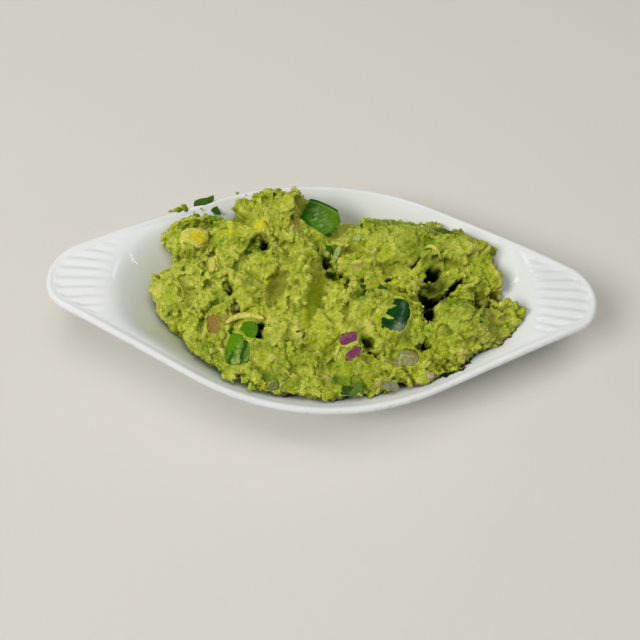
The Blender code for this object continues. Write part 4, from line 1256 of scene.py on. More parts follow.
def press_under_slabs(points):
    """Sinks the mash under each piece and lets it creep an uneven way over the piece's border."""
    for node, direction, thick, bend, _, hug, rounding, corners in SLABS:
        flat, near, axes = near_slab(points, node, direction)
        uneven = smooth_noise(points[near], 2.6, 77) + 0.6 * smooth_noise(points[near], 1.2, 76)
        away = outside_outline(flat[:, :2], rounded_outline(corners, rounding, 40))
        creep = hug * (0.1 + 0.5 * uneven) - (1 - hug)
        for covered, *place in COVERS:
            if covered == node:
                cover = patch(flat[:, 0], flat[:, 1], *place, 2.0)
                creep = creep + 5 * cover * (1 + 1.2 * smooth_noise(points[near], 1.6, 78))
        bare = np.clip((-away - creep) / 0.5 + 0.5, 0, 1)
        top = thick / 2 - flat[:, 0] ** 2 / (2 * bend) + 0.4 + 0.3 * uneven
        spread = np.exp(-((np.maximum(away, 0) / 2.4) ** 2)) * (creep > -0.5)
        raised = flat[:, 2] + spread * np.maximum(top - flat[:, 2], 0)
        sunk = np.minimum(flat[:, 2], top - 1.6)
        moved = np.where(creep + hug > 0.0, raised, flat[:, 2])
        height = moved + bare * (sunk - moved)
        points = points.copy()
        points[near] += (height - flat[:, 2])[:, None] * axes[2]
    return points


@functools.lru_cache(maxsize=None)
def mash_surface(relief):
    """Grid of the mash's upper surface and its outward normals, and shares for its tint.

    The shares say which clump a point is in, how hollow and how raised it is, and how smooth.

    The heap's formula gives a first surface. Each layer of lumps is then pushed out along the
    normals of the surface before it, so that lumps stand on lumps and overhang on steep sides.
    """
    u, v = disc_grid(GRID_ROWS, GRID_COLUMNS)
    reach = np.hypot(u, v)
    spread_x, spread_y = GRID_SPREAD
    angle = np.arctan2(v * spread_y, u * spread_x)
    points, sunk = heap_grid(reach, angle)
    x, y = points[..., 0], points[..., 1]

    smooth = np.zeros(x.shape)
    for _, *place, amount in SMOOTH_PATCHES:
        smooth = np.maximum(smooth, amount * patch(x, y, *place, 2.0))
    for _, *place, _ in FIRM_LUMPS:
        smooth = np.maximum(smooth, 0.75 * patch(x, y, *place, 2.0))

    drawn = 0.8 * relief * strokes(points) * (1 - 0.8 * smooth)
    points = points + grid_normals(points, 3) * drawn[..., None]
    fine = 0.7 * drawn
    owners = []
    for kind, size, height, seed, kept in RELIEF_LAYERS:
        warp = noise_vectors(points, size * 0.9, seed + 5)
        shape = {"broken": broken_faces, "billows": billows, "crests": crests}[kind]
        rise, owner = shape(points + warp * size * 0.6, size, seed)
        amount = 1 - smooth * (1 - kept)
        patchy = 0.45 + 1.1 * np.clip(smooth_noise(points, 9.0, seed + 9) + 0.5, 0, 1)
        push = relief * height * rise * amount * patchy
        normals = grid_normals(points, 3 if size > 5 else 1)
        points = points + normals * push[..., None]
        if size in TINTED_SIZES:
            owners.append(owner)
        if size < 12:
            fine += push
    points = press_under_slabs(points)
    points = stay_off_dish(points, MASH_GAP)
    level = blurred(fine, 24)
    # How hollow and how raised each point is: these are painted as shade and as highlight.
    hollow = np.maximum(np.clip((level - fine) / 1.4, 0, 1) * 0.55, sunk)
    raised = np.clip((fine - level) / 1.3, 0, 1)
    return points, grid_normals(points, 2), owners, hollow, raised, smooth


def mash_tint(look, points, owners, hollow, raised):
    """Colour: lumps green to light and olive, stains, painted highlight on lumps, painted shade in cracks."""
    names = ("green", "light", "yellow", "firm", "olive", "olive_brown", "brown", "green_shade", "crack_shade",
             "gap")
    colour = {name: np.array(getattr(look, name)) for name in names}

    def towards(base, name, share):
        """Colours moved by a share towards a named one."""
        return base + (colour[name] - base) * np.clip(share, 0, 1)[..., None]

    x, y = points[..., 0], points[..., 1]
    clouds = smooth_noise(points, 12.0, 71) * 0.5 + smooth_noise(points, 5.0, 73) * 0.5
    blotches = smooth_noise(points * (1.0, 1.3, 1.0), 6.5, 75) + 0.5 * smooth_noise(points, 2.6, 76)
    patches, grains = owners
    speckle = smooth_noise(points, 1.3, 77)
    # Random clumps, clouds and grain, plus a painted highlight on raised lumps.
    lightness = 0.05 + 0.4 * patches + 0.3 * grains + 0.6 * clouds + 0.55 * raised + 0.6 * speckle
    tint = np.broadcast_to(colour["green"], points.shape).copy()
    tint = towards(tint, "light", lightness)
    tint = towards(tint, "olive", 0.9 * (patches - 0.55 - 0.5 * clouds))
    tint = towards(tint, "yellow", (patches > 0.88) * 0.4 * (raised + 0.3))
    tint = towards(tint, "firm", (grains > 0.93) * 0.6)
    tint = towards(tint, "green_shade", blotches - 0.30 - 0.5 * speckle)
    for _, *place, _ in FIRM_LUMPS:
        tint = towards(tint, "firm", 0.85 * patch(x, y, *place, 3.0))
    ragged = 1 + 0.35 * smooth_noise(points, 2.5, 79)
    for _, *place, name, share in STAINS:
        tint = towards(tint, name, share * ragged * patch(x, y, *place, 2.0))
    # Painted shade: cracks, hollows and the tucked edge take the crack colour, and the deepest darken nearly
    # to black.
    tint = towards(tint, "crack_shade", 0.9 * hollow)
    return tint * (1 - 0.85 * np.clip(hollow * 2 - 1, 0, 1))[..., None]


def border(grid):
    """Values round the border of a grid, anticlockwise from its first corner."""
    return np.concatenate([grid[0, :-1], grid[:-1, -1], grid[-1, :0:-1], grid[:0:-1, 0]])


class GUACAMOLE_OT_mash(bpy.types.Operator):
    """Models the heap of crushed avocado down to the well's wall and floor"""

    bl_idname = "guacamole.mash"
    bl_label = "Mash"

    def execute(self, context):
        look = context.scene.guacamole_mash
        points, _, owners, hollow, raised, _ = mash_surface(look.relief)
        tint = mash_tint(look, points, owners, hollow, raised)
        rows, columns, _ = points.shape
        numbers = np.arange(rows * columns).reshape(rows, columns)
        rim, rim_numbers = border(points), border(numbers)
        angle = np.arctan2(rim[:, 1], rim[:, 0])
        below = []
        for share in np.linspace(*UNDERSIDE_SHARES, UNDERSIDE_ROWS):
            radius, height = offset_surface(angle, on_wall(angle, share), UNDERSIDE_GAP)
            low = ring(angle, radius, height)
            low[:, 2] = np.minimum(low[:, 2], rim[:, 2] - UNDERSIDE_DROP)
            below.append(low)
        middle = np.array([[0, 0, FLOOR_HEIGHT + 0.5]])
        every = np.concatenate([points.reshape(-1, 3), *below, middle])
        loops = [rim_numbers]
        for row in range(UNDERSIDE_ROWS):
            loops.append(rows * columns + row * len(rim) + np.arange(len(rim)))
        faces = grid_quads(rows, columns, wraps=False).tolist()
        for upper, lower in zip(loops, loops[1:]):
            after_upper, after_lower = np.roll(upper, -1), np.roll(lower, -1)
            faces += np.stack([upper, lower, after_lower, after_upper], -1).tolist()
        faces += fan(loops[-1], len(every) - 1, flip=True).tolist()
        # The hidden underside is painted in the crack colour, as shade.
        extra = np.broadcast_to(np.array(look.crack_shade), (len(every) - rows * columns, 3))
        tints = np.concatenate([tint.reshape(-1, 3), extra])
        add_piece("crushed_avocado", every, faces, [mash_finish()], ["guacamole"], colours=tints)
        return {"FINISHED"}


# ---- pieces in and on the mash


def surface_at(places):
    """The mash's points nearest to places in x and y, and the outward normals there."""
    points, normals, *_ = mash_surface(bpy.context.scene.guacamole_mash.relief)
    flat, up = points.reshape(-1, 3), normals.reshape(-1, 3)
    nearest = [int(np.argmin(np.sum((flat[:, :2] - place) ** 2, axis=1))) for place in places]
    return flat[nearest], up[nearest]


def leaf_outline(columns, half_wide, half_long, lobes, seed):
    """Outline of a chopped leaf: an ellipse whose radius waves with its lobes, torn by noise."""
    angle = np.linspace(0, 2 * np.pi, columns, endpoint=False)
    circle = np.stack([np.cos(angle), np.sin(angle), np.full(columns, seed * 3.7)], -1)
    radius = 1 + 0.22 * np.cos(lobes * angle) + 0.35 * smooth_noise(circle, 0.7, seed)
    return circle[:, :2] * radius[:, None] * (half_wide, half_long)


def plate_rows(outline, thickness, edge, face_rows=8, edge_rows=3):
    """Rings of a flat piece from the middle of its lower face, over its edge, to the upper's.

    The faces are the outline scaled from a small share to one. The edge is a quarter circle, a
    straight side and a quarter circle, set in from the outline.
    """
    reach = np.maximum(np.linalg.norm(outline, axis=1, keepdims=True), 1e-6)
    half = thickness / 2
    shares = np.linspace(0.08, 1, face_rows)
    turns = np.radians(np.linspace(0, 90, edge_rows + 1)[1:])
    upper = [(share, edge, half) for share in shares]
    upper += [(1, edge * (1 - math.sin(t)), half - edge * (1 - math.cos(t))) for t in turns]
    profile = [(s, e, -z) for s, e, z in upper] + [(s, e, z) for s, e, z in upper[::-1]]
    rows = []
    for share, set_in, height in profile:
        flat = outline * share * (1 - set_in / reach)
        rows.append(np.concatenate([flat, np.full((len(outline), 1), height)], -1))
    return np.array(rows)


def bent(points, radius):
    """Points wrapped round a cylinder along their own Y axis, whose top touches z = 0."""
    turn = points[..., 0] / radius
    reach = radius + points[..., 2]
    return np.stack([np.sin(turn) * reach, points[..., 1], np.cos(turn) * reach - radius], -1)


def cut_piece(outline, thick, bend, edge, rough, seed):
    """A cut piece about its own middle: its points, faces, flat places and share of upper face."""
    middle = outline.mean(0)
    rows = plate_rows(outline - middle, thick, edge, face_rows=14)
    rows[..., :2] += middle
    skew = noise_vectors(rows, 7.0, seed) + 0.5 * noise_vectors(rows, 2.4, seed + 4)
    points, faces = closed_loft(rows + rough * skew * (1.0, 1.0, 0.8))
    share = np.clip(points[:, 2] / (thick / 2) * 4 - 3, 0, 1)
    return bent(points, bend) + (0, 0, thick / 2), faces, points, share


def slab(node, columns=72, edge=0.55, rough=0.22):
    """A cut piece in a CAD slab's place: its points, faces, flat places and share of upper face."""
    _, direction, thick, bend, _, _, rounding, corners = next(row for row in SLABS if row[0] == node)
    middle, axes = slab_axes(node, direction)
    outline = rounded_outline(corners, rounding, columns)
    points, faces, local, share = cut_piece(outline, thick, bend, edge, rough, sum(map(ord, node)))
    return (points - (0, 0, thick / 2)) @ axes + middle, faces, local, share


def striped(points, direction, pitch, seed):
    """Share from 0 to 1 of wavy stripes at a pitch, across a direction."""
    along, _ = turned(points[:, 0], points[:, 1], 0, 0, direction)
    wave = smooth_noise(points, pitch * 1.6, seed) * pitch * 0.35
    return 0.5 + 0.5 * np.sin(2 * np.pi * (along + wave) / pitch)


def torn_strokes(points, direction, pitch, seed):
    """Share from 0 to 1 of uneven strokes along a direction: stretched noise above a threshold."""
    along, across = turned(points[:, 0], points[:, 1], 0, 0, direction)
    drawn = np.stack([along / 4.5, across, points[:, 2] * 0.5], -1)
    height = 3.0 * smooth_noise(drawn, pitch, seed) + 1.2 * smooth_noise(points, 1.4, seed + 3)
    return np.clip(height + 0.1, 0, 1)


def blend(first, second, share):
    """Colours between two, point by point."""
    first, second = np.asarray(first, float), np.asarray(second, float)
    return first + (second - first) * np.clip(share, 0, 1)[..., None]


class GUACAMOLE_OT_peppers(bpy.types.Operator):
    """Cuts the diced green pepper: ribbed flesh, skin edges and one piece lying skin up"""

    bl_idname = "guacamole.peppers"
    bl_label = "Peppers"

    def execute(self, context):
        look = context.scene.guacamole_toppings
        flesh, rib, edge, dark = (np.array(c) for c in
                                  (look.pepper, look.pepper_rib, look.pepper_edge, look.pepper_dark))
        flesh_finish, dark_finish = pepper_finish(), skin_finish()

        points, faces, local, top = slab("pepper_back", columns=96, edge=0.45)
        x, y = local[:, 0], local[:, 1]
        stripes = torn_strokes(local, 52.0, 0.9, 5)
        ribbed = top * patch(x, y, -0.4, -0.6, 6.4, 4.4, -40.0, 2.0)
        right_side = np.clip((x + 0.3 * y) / 3 - 0.8, 0, 1)
        tint = blend(edge, flesh, 0.3 + 0.06 * x + 0.4 * smooth_noise(local, 3.0, 6))
        tint = blend(tint, flesh * (0.9, 1.0, 0.3), right_side)
        tint = blend(tint, rib, ribbed * (0.12 + 0.5 * stripes))
        tint = blend(tint, edge * 0.7, 0.6 * ribbed * torn_strokes(local, 58.0, 1.0, 8) * (1 - stripes))
        skin = np.clip(1 - (8.2 - 0.11 * (x + 8) - y) / 0.9, 0, 1)
        tint = blend(tint, edge * (0.8, 0.6, 1.0), skin)
        tint = blend(tint, look.pepper_rib, 0.5 * np.clip(1 - np.abs(7.0 - 0.11 * (x + 8) - y) / 0.4, 0, 1))
        points[:, 2] += ribbed * (stripes * 0.35 - 0.2)
        add_piece("pepper_piece_back", points, faces, [flesh_finish], ["pepper_back"], colours=tint)

        points, faces, local, _ = slab("pepper_dark", columns=84, edge=0.7, rough=0.3)
        cloudy = 0.5 + 0.5 * smooth_noise(local, 4.0, 9)
        tint = blend(dark * 0.7, dark * 1.6 + (0, 0.004, 0.006), cloudy)
        clear = patch(local[:, 0], local[:, 1], 1.8, -7.8, 3.0, 2.0, 50.0, 1.5)
        tint = blend(tint, np.array(look.bit_grey) * (0.7, 1.0, 1.1), 0.75 * clear)
        add_piece("pepper_piece_dark", points, faces, [dark_finish], ["pepper_dark"],
                  colours=tint)

        points, faces, local, _ = slab("pepper_front", columns=84, edge=0.6, rough=0.35)
        share = 0.45 + 0.5 * smooth_noise(local, 3.5, 12) + 0.05 * local[:, 0]
        tint = blend(edge * 1.1, flesh * (0.9, 1.0, 0.3), share)
        add_piece("pepper_piece_front", points, faces, [flesh_finish], ["pepper_front"],
                  colours=tint)

        points, faces, local, top = slab("pepper_lower", columns=72, edge=0.6, rough=0.4)
        stripes = torn_strokes(local, 105.0, 1.7, 15)
        left_side = np.clip(0.4 - local[:, 0] / 3 + 0.1 * local[:, 1], 0, 1)
        tint = blend(flesh * (0.7, 0.85, 0.6), rib, 0.15 + 0.7 * stripes * top)
        tint = blend(tint, flesh * (0.9, 1.0, 0.4), left_side)
        tint = blend(tint, edge * 0.5, 0.9 * torn_strokes(local, 95.0, 2.4, 17) * (stripes < 0.3))
        add_piece("pepper_piece_lower", points, faces, [flesh_finish], ["pepper_lower"],
                  colours=tint)
        return {"FINISHED"}


class GUACAMOLE_OT_onions(bpy.types.Operator):
    """Cuts the diced onion: two red pieces with a pale layer, a clear one and a browned one"""

    bl_idname = "guacamole.onions"
    bl_label = "Onions"

    def execute(self, context):
        look = context.scene.guacamole_toppings
        red, pith, pale, tan = (np.array(c) for c in
                                (look.onion_red, look.onion_pith, look.onion_pale, look.onion_tan))
        for node, direction in (("onion_red_upper", 95.0), ("onion_red_lower", 80.0)):
            points, faces, local, top = slab(node, edge=0.7, rough=0.35)
            veins = striped(local, direction, 0.9, 21)
            tint = blend(red, red * 0.55, veins * 0.5 + 0.4 * smooth_noise(local, 2.5, 22))
            tint = blend(tint, pith, (1 - top) * 0.45)
            add_piece("red_" + node[10:] + "_onion", points, faces, [onion_finish("Red onion")],
                      [node], colours=tint)
        points, faces, local, _ = slab("onion_pale", edge=0.6, rough=0.4)
        x, y = local[:, 0], local[:, 1]
        layer = np.maximum(np.abs(x - 0.2), 1.25 * np.abs(y + 0.4)) + 0.35 * smooth_noise(local, 2.2, 31)
        line = np.clip(1.2 - np.abs(layer - 3.1) / 0.45, 0, 1) + np.clip(1 - np.abs(layer - 1.2) / 0.35, 0, 1)
        tint = blend(pale * 0.55, pale * 0.85, 0.5 + smooth_noise(local, 1.6, 33))
        tint = blend(tint, pale * 1.35, np.minimum(line, 1) * 0.8)
        tint = blend(tint, tan * (0.55, 0.6, 0.6), np.clip((x + y) / 4 - 0.6, 0, 1) * 0.8)
        add_piece("clear_onion", points, faces, [onion_finish("White onion")], ["onion_pale"],
                  colours=tint)
        points, faces, local, _ = slab("onion_tan", edge=0.7, rough=0.35)
        browned = 0.4 + 0.6 * smooth_noise(local, 2.6, 41) - 0.25 * local[:, 0]
        tint = blend(tan, tan * (0.88, 0.68, 0.62), browned)
        add_piece("tan_onion", points, faces, [onion_finish("Browned onion")], ["onion_tan"],
                  colours=tint)
        return {"FINISHED"}


def ball(rows, columns):
    """Points on a sphere of radius 1 and its faces, as rings between two poles."""
    tilt = np.linspace(-0.5, 0.5, rows + 2)[1:-1] * np.pi
    turn = np.linspace(0, 2 * np.pi, columns, endpoint=False)
    rings = np.stack([np.cos(tilt)[:, None] * np.cos(turn), np.cos(tilt)[:, None] * np.sin(turn),
                      np.broadcast_to(np.sin(tilt)[:, None], (rows, columns))], -1)
    points, faces = closed_loft(rings)
    points[-2:] = (0, 0, -1), (0, 0, 1)
    return points, faces


def random_axes(random, count):
    """Random right-handed sets of axes: two random vectors made square to each other."""
    first = unit(random.normal(size=(count, 3)))
    second = random.normal(size=(count, 3))
    second = unit(second - first * np.sum(first * second, axis=1, keepdims=True))
    return np.stack([first, second, np.cross(first, second)], axis=1)


def many_lumps(centres, axes, sizes, rows, columns, ragged, seed):
    """Points and faces of lumps: one sphere scaled and turned for each, then pushed by noise."""
    sphere, faces = ball(rows, columns)
    shaped = np.einsum("nk,vk,nkj->nvj", sizes, sphere, axes)
    around = centres[:, None, :] + shaped
    size = sizes.mean(axis=1)[:, None, None]
    noise = smooth_noise(around / size, 1.3, seed)[..., None]
    around = around + shaped * ragged * noise
    count = len(sphere)
    every = [[corner + i * count for corner in face] for i in range(len(centres)) for face in faces]
    return around.reshape(-1, 3), every, count


class GUACAMOLE_OT_crumbs(bpy.types.Operator):
    """Scatters lumps and crumbs of mash over the heap: few where smooth, none in hollows or on pieces"""

    bl_idname = "guacamole.crumbs"
    bl_label = "Crumbs"

    def execute(self, context):
        look = context.scene.guacamole_mash
        random = np.random.default_rng(4)
        points, normals, owners, hollow, raised, smooth = mash_surface(look.relief)
        # Crumbs keep the painted highlight on raised lumps but not the painted shade of the hollows.
        tint = mash_tint(look, points, owners, hollow * 0, raised)
        flat, up, tint = points.reshape(-1, 3), normals.reshape(-1, 3), tint.reshape(-1, 3)
        area = np.linalg.norm(np.cross(np.gradient(points, axis=0), np.gradient(points, axis=1)), axis=-1)
        away = outside_slabs(flat)
        chance = area.ravel() * (1 - 0.97 * smooth.ravel()) * (away > 1.0) * (hollow.ravel() < 0.1)
        for name, count, low, high, sides, seed in (
            ("loose_mash_lumps", 70, 0.7, 1.5, (7, 11), 61),
            ("mash_crumbs", 420, 0.3, 0.7, (5, 8), 62),
        ):
            picked = random.choice(len(flat), count, p=chance / chance.sum())
            size = low + (high - low) * random.random(count) ** 1.8
            sizes = size[:, None] * (0.75 + 0.6 * random.random((count, 3)))
            centres = flat[picked] + up[picked] * size[:, None] * (random.random((count, 1)) * 0.5 - 0.3)
            made, faces, corners = many_lumps(centres, random_axes(random, count), sizes, *sides, 0.45, seed)
            made = stay_off_dish(made, CRUMB_GAP)
            lighter = 0.85 + 0.35 * random.random((count, 1))
            own = tint[picked] * lighter
            own[random.random(count) > 0.94] = np.array(look.firm)
            add_piece(name, made, faces, [mash_finish()], colours=np.repeat(own, corners, axis=0))
        return {"FINISHED"}


def outside_slabs(points):
    """Distance of points outside the nearest slab's outline, in its own plane."""
    nearest = np.full(len(points), 1e3)
    for node, direction, _, _, _, _, rounding, corners in SLABS:
        flat, near, _ = near_slab(points, node, direction)
        away = outside_outline(flat[:, :2], rounded_outline(corners, rounding, 40))
        nearest[near] = np.minimum(nearest[near], away)
    return nearest


class GUACAMOLE_OT_bits(bpy.types.Operator):
    """Presses the smaller cut pieces of pepper and onion into the mash"""

    bl_idname = "guacamole.bits"
    bl_label = "Small Bits"

    def execute(self, context):
        look = context.scene.guacamole_toppings
        parts, tints = [], []
        for number, (_, x, y, direction, wide, long, thick, lift, colour) in enumerate(BITS):
            corners = np.array(BIT_CORNERS) * (wide / 2, long / 2)
            points, faces, local, _ = cut_piece(
                rounded_outline(corners, 0.4, 48), thick, 14.0, 0.5, 0.35, 500 + 9 * number)
            spots, normals = surface_at([(x, y)])
            up = unit(normals[0] + (0, 0, 0.6))
            placed = points @ axes_on(up, direction) + spots[0] + up * (lift - thick / 2)
            parts.append((placed, faces))
            shade = np.array(getattr(look, colour))
            tone = 0.5 + 0.5 * smooth_noise(local, 1.8, 520 + number)
            tone = tone + 0.2 * striped(local, 80.0, 1.2, number)
            tints.append(blend(shade * 0.72, shade * 1.2, tone))
        add_parts("small_bits", parts, tints, onion_finish("Small bits"))
        return {"FINISHED"}


class GUACAMOLE_OT_avocado(bpy.types.Operator):
    """Models the firm avocado chunk and the pale slivers of avocado that lie on the mash"""

    bl_idname = "guacamole.avocado"
    bl_label = "Firm Avocado"

    def execute(self, context):
        look = context.scene.guacamole_toppings
        mash = context.scene.guacamole_mash
        sphere, faces = ball(44, 72)
        points = node_points("avocado_chunk")
        middle = (points.min(0) + points.max(0)) / 2
        half = (points.max(0) - points.min(0)) / 2
        boxy = np.sign(sphere) * np.abs(sphere) ** 0.7
        torn, _ = broken_faces(sphere, 0.7, 82)
        shape = boxy * (1 + 0.13 * layered_noise(sphere, 0.9, 81)[:, None] + 0.10 * torn[:, None])
        made = middle + (-0.6, 1.2, 0.0) + shape * half * (1.2, 1.3, 1.02)
        x, y = sphere[:, 0], sphere[:, 1]
        yolk = patch(x, y, 0.32, -0.18, 0.55, 0.42, -30.0, 1.5)
        fringe = np.clip(1.5 * y - 0.55 + 0.5 * smooth_noise(sphere, 0.35, 85), 0, 1)
        spot = patch(x, y, -0.25, 0.72, 0.3, 0.22, 10.0, 1.5)
        tint = blend(np.array(mash.firm), np.array(mash.light), 0.4 + 0.8 * smooth_noise(sphere, 0.4, 84))
        tint = blend(tint, np.array(mash.brown) * (1.2, 1.1, 0.8), fringe * 0.75)
        tint = blend(tint, np.array(mash.firm) * (1.0, 0.85, 0.75), spot)
        tint = blend(tint, np.array(look.avocado), yolk)
        add_piece("firm_avocado_chunk", made, faces, [firm_finish()], ["avocado_chunk"],
                  colours=tint)

        parts, tints = [], []
        for _, start, bend, end, width, thickness, lift, colour in SLIVERS:
            points, faces = sliver(start, bend, end, width, thickness, lift)
            shade = np.array(getattr(mash, colour))
            tints.append(blend(shade * 0.88, shade * 1.12, 0.5 + smooth_noise(points, 1.5, 87)))
            parts.append((points, faces))
        add_parts("avocado_slivers", parts, tints, firm_finish())
        return {"FINISHED"}


def sliver(start, bend, end, width, thickness, lift):
    """A tapered strip along a curve through three places on the mash.

    The path is a quadratic curve. Its section is an ellipse that narrows as the square root of a
    sine towards both ends.
    """
    along = np.linspace(0, 1, 26)[:, None]
    places, normals = surface_at(np.array([start, bend, end]))
    places = places + normals * lift
    control = 2 * places[1] - (places[0] + places[2]) / 2
    path = places[0] * (1 - along) ** 2 + control * 2 * along * (1 - along) + places[2] * along**2
    forward = unit(np.gradient(path, axis=0))
    up = unit(normals.mean(0) - forward * (forward @ normals.mean(0))[:, None])
    side = np.cross(forward, up)
    taper = np.sqrt(np.sin(np.pi * (0.04 + 0.92 * along)))
    turn = np.linspace(0, 2 * np.pi, 18, endpoint=False)
    rows = path[:, None] + (side[:, None] * np.cos(turn)[:, None] * (width / 2 * taper)[:, None]
                            + up[:, None] * np.sin(turn)[:, None] * (thickness / 2 * taper)[:, None])
    rows += 0.16 * noise_vectors(rows, 1.6, 91)
    return closed_loft(rows[::-1])


def scrap(place, normal, turn, outline, curl, seed, face_rows=6, fold=0.0):
    """A scrap of leaf: a thin plate, curled across its length, folded along it and laid down."""
    rows = plate_rows(outline, 0.34, 0.12, face_rows, 2)
    y = rows[..., 1]
    half_long = np.abs(y).max()
    lift = curl * (y / half_long) ** 2 * half_long - fold * np.abs(y)
    crinkle = 0.22 * smooth_noise(rows, 1.8, seed + 1)
    rows[..., 2] += lift + crinkle
    points, faces = closed_loft(rows)
    return points @ axes_on(normal, turn) + place, faces, points


class GUACAMOLE_OT_herbs(bpy.types.Operator):
    """Lays the scraps of chopped cilantro on the mash and on the dish's back rim"""

    bl_idname = "guacamole.herbs"
    bl_label = "Cilantro"

    def execute(self, context):
        look = context.scene.guacamole_toppings
        leaf, light = np.array(look.leaf), np.array(look.leaf_light)
        random = np.random.default_rng(9)
        finish = leaf_finish()

        def tinted(local, seed, paleness):
            """Colours of a leaf: veins and clouds between its two sides."""
            veins = torn_strokes(local, 55.0, 0.8, seed)
            tone = 0.5 * veins + 0.45 * smooth_noise(local, 2.0, seed + 2) + paleness - 0.1
            return blend(leaf, light, tone)

        parts, tints = [], []
        for seed, (_, place, turn, wide, long, curl, lift, paleness) in enumerate(HERBS):
            spots, normals = surface_at([place])
            outline = leaf_outline(30, wide / 2, long / 2, 3, 100 + seed)
            points, faces, local = scrap(spots[0] + normals[0] * lift, normals[0], turn,
                                         outline, curl, 100 + seed)
            parts.append((points, faces))
            tints.append(tinted(local, 130 + seed, paleness))
        points, normals, _, _, _, smooth = mash_surface(context.scene.guacamole_mash.relief)
        flat, up = points.reshape(-1, 3), normals.reshape(-1, 3)
        chance = (1 - 0.95 * smooth.ravel()) * (outside_slabs(flat) > 1.5)
        for i, spot in enumerate(random.choice(len(flat), 34, p=chance / chance.sum())):
            half = random.uniform(0.4, 1.1, 2)
            tilt = unit(up[spot] + random.normal(size=3) * 0.35)
            outline = leaf_outline(14, half[0], half[1] * 1.3, 3, 200 + i)
            points, faces, local = scrap(flat[spot] + up[spot] * 0.15, tilt, random.uniform(0, 360),
                                         outline, 0.3, 200 + i, 3)
            parts.append((points, faces))
            tints.append(tinted(local, 300 + i, 0.1))
        add_parts("cilantro_on_mash", parts, tints, finish)

        parts, tints = [], []
        for seed, (_, (x, y), turn, rise, fold, tilt, paleness, corners) in enumerate(RIM_LEAVES):
            height = float(dish_top(np.arctan2(y, x), np.hypot(x, y)))
            outline = rounded_outline(corners, 0.35, 48)
            points, faces, local = scrap(np.array([x, y, height + rise]), unit(np.array(tilt, float)), turn,
                                         outline, 0.1, 400 + seed, 10, fold)
            parts.append((points, faces))
            tints.append(tinted(local, 430 + seed, paleness))
        add_parts("cilantro_on_rim", parts, tints, finish)
        return {"FINISHED"}


class GUACAMOLE_OT_rim_bits(bpy.types.Operator):
    """Drops the crumbs of mash on the dish's back rim"""

    bl_idname = "guacamole.rim_bits"
    bl_label = "Rim Crumbs"

    def execute(self, context):
        look = context.scene.guacamole_mash
        random = np.random.default_rng(12)
        x = np.concatenate([random.uniform(*span, count) for span, _, count, _ in RIM_CRUMBS])
        back = np.concatenate([random.uniform(*span, count) for _, span, count, _ in RIM_CRUMBS])
        size = np.concatenate([random.uniform(0.5, 1, count) * largest
                               for _, _, count, largest in RIM_CRUMBS])
        angle = rim_angle(x)
        radius = oval_radius(angle, *OUTLINE) - back
        height = dish_top(angle, radius) + BEAD_RISE * np.clip(1 - np.abs(back - 2) / 2, 0, 1)
        centres = ring(angle, radius, height + size * 0.35)
        sizes = size[:, None] * (0.7 + 0.7 * random.random((len(x), 3)))
        made, faces, corners = many_lumps(centres, random_axes(random, len(x)), sizes, 6, 10, 0.45, 141)
        shade = blend(np.array(look.light), np.array(look.olive), random.random(len(x)))
        add_piece("rim_crumbs", made, faces, [mash_finish()],
                  colours=np.repeat(shade, corners, axis=0))
        return {"FINISHED"}


def rim_angle(x):
    """Directions of the outline's back side at given x: each step goes half way to acos(x / radius)."""
    angle = np.full(np.shape(x), np.pi / 2)
    for _ in range(40):
        radius = oval_radius(angle, *OUTLINE)
        angle = 0.5 * angle + 0.5 * np.arccos(np.clip(x / radius, -1, 1))
    return angle


# ---- stage


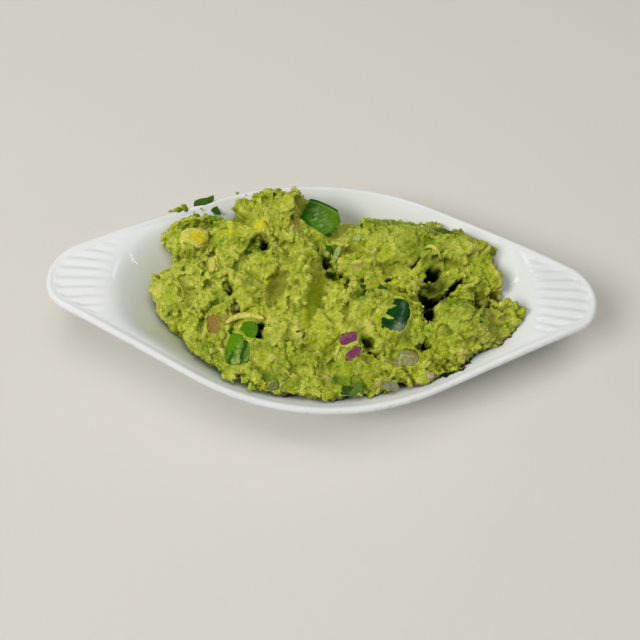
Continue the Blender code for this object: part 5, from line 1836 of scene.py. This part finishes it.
class GUACAMOLE_OT_stage(bpy.types.Operator):
    """Sets the floor, the lights and the camera"""

    bl_idname = "guacamole.stage"
    bl_label = "Stage"

    def execute(self, context):
        look = context.scene.guacamole_stage
        scene = context.scene
        mesh = bpy.data.meshes.new("studio_floor")
        reach = 2.5
        mesh.from_pydata([(-reach, -reach, 0), (reach, -reach, 0), (reach, reach, 0), (-reach, reach, 0)],
                         [], [(0, 1, 2, 3)])
        mesh.materials.append(floor_finish(look))
        floor = bpy.data.objects.new("studio_floor", mesh)
        scene.collection.objects.link(floor)

        lights = (
            ("key window", (-1.4, -0.8, 1.7), (0.8, 0.8), 31.0, "#fffdf6", False),
            ("ceiling panel", (0.1, 0.1, 1.6), (1.0, 0.8), 8.0, "#fffdf8", False),
            ("front fill", (0.9, -1.3, 1.0), (1.0, 0.8), 1.6, "#f4f8ff", False),
            ("lamp", (0.3, 0.5, 1.2), (0.22, 0.22), 0.4, "#ffffff", True),
            ("tube", (0.0, 0.1, 1.3), (1.8, 0.03), 0.5, "#ffffff", True),
            ("left strip", (-0.75, 0.2, 0.75), (0.03, 0.4), 0.3, "#ffffff", True),
            ("right strip", (0.8, 0.1, 0.75), (0.03, 0.5), 0.3, "#ffffff", True),
        )
        for name, place, (wide, long), power, hex_colour, mirrored in lights:
            data = bpy.data.lights.new(name, "AREA")
            data.shape, data.size, data.size_y = "RECTANGLE", wide, long
            data.energy, data.color = power, linear(hex_colour)
            light = bpy.data.objects.new(name, data)
            light.location = place
            light.rotation_euler = (-Vector(place)).to_track_quat("-Z", "Y").to_euler()
            light.visible_glossy = mirrored
            scene.collection.objects.link(light)

        world = bpy.data.worlds.new("Soft room")
        world.use_nodes = True
        sky = world.node_tree.nodes["Background"]
        sky.inputs["Color"].default_value = (*linear("#eef1f5"), 1)
        sky.inputs["Strength"].default_value = 0.15
        scene.world = world
        scene.view_settings.view_transform = "Standard"

        data = bpy.data.cameras.new("camera")
        data.sensor_width, data.lens = 36.0, look.focal_length
        data.clip_start, data.clip_end = 0.01, 20.0
        camera = bpy.data.objects.new("camera", data)
        right = Vector((0.99896, 0.03799, 0.02504))
        up = Vector((-0.04512, 0.89805, 0.43757))
        back = Vector((-0.00587, -0.43824, 0.89884))
        camera.matrix_world = (
            Matrix.Translation(Vector(look.camera_place)) @ Matrix((right, up, back)).transposed().to_4x4()
        )
        scene.collection.objects.link(camera)
        scene.camera = camera
        return {"FINISHED"}


class GUACAMOLE_PT_panel(bpy.types.Panel):
    """Lists the pieces of the guacamole dish"""

    bl_idname = "GUACAMOLE_PT_panel"
    bl_label = "Guacamole Dish"
    bl_space_type = "VIEW_3D"
    bl_region_type = "UI"
    bl_category = "Guacamole"

    def draw(self, context):
        """Shows a button for each operator."""
        for operator in OPERATORS:
            self.layout.operator(operator.bl_idname)


LOOKS = {
    "guacamole_dish": DishLook,
    "guacamole_mash": MashLook,
    "guacamole_toppings": ToppingLook,
    "guacamole_stage": StageLook,
}
OPERATORS = (
    GUACAMOLE_OT_dish,
    GUACAMOLE_OT_mash,
    GUACAMOLE_OT_crumbs,
    GUACAMOLE_OT_peppers,
    GUACAMOLE_OT_onions,
    GUACAMOLE_OT_bits,
    GUACAMOLE_OT_avocado,
    GUACAMOLE_OT_herbs,
    GUACAMOLE_OT_rim_bits,
    GUACAMOLE_OT_stage,
)


def register():
    """Registers the classes and hangs the looks on the scene."""
    for kind in (*LOOKS.values(), *OPERATORS, GUACAMOLE_PT_panel):
        bpy.utils.register_class(kind)
    for name, kind in LOOKS.items():
        setattr(bpy.types.Scene, name, bpy.props.PointerProperty(type=kind))


def unregister():
    """Takes the looks off the scene and the classes out, in reverse."""
    for name in LOOKS:
        delattr(bpy.types.Scene, name)
    for kind in (GUACAMOLE_PT_panel, *reversed(OPERATORS), *LOOKS.values()):
        bpy.utils.unregister_class(kind)


def main():
    """Builds every piece in order."""
    register()
    for operator in OPERATORS:
        group, name = operator.bl_idname.split(".")
        getattr(getattr(bpy.ops, group), name)()


if __name__ == "__main__":
    main()
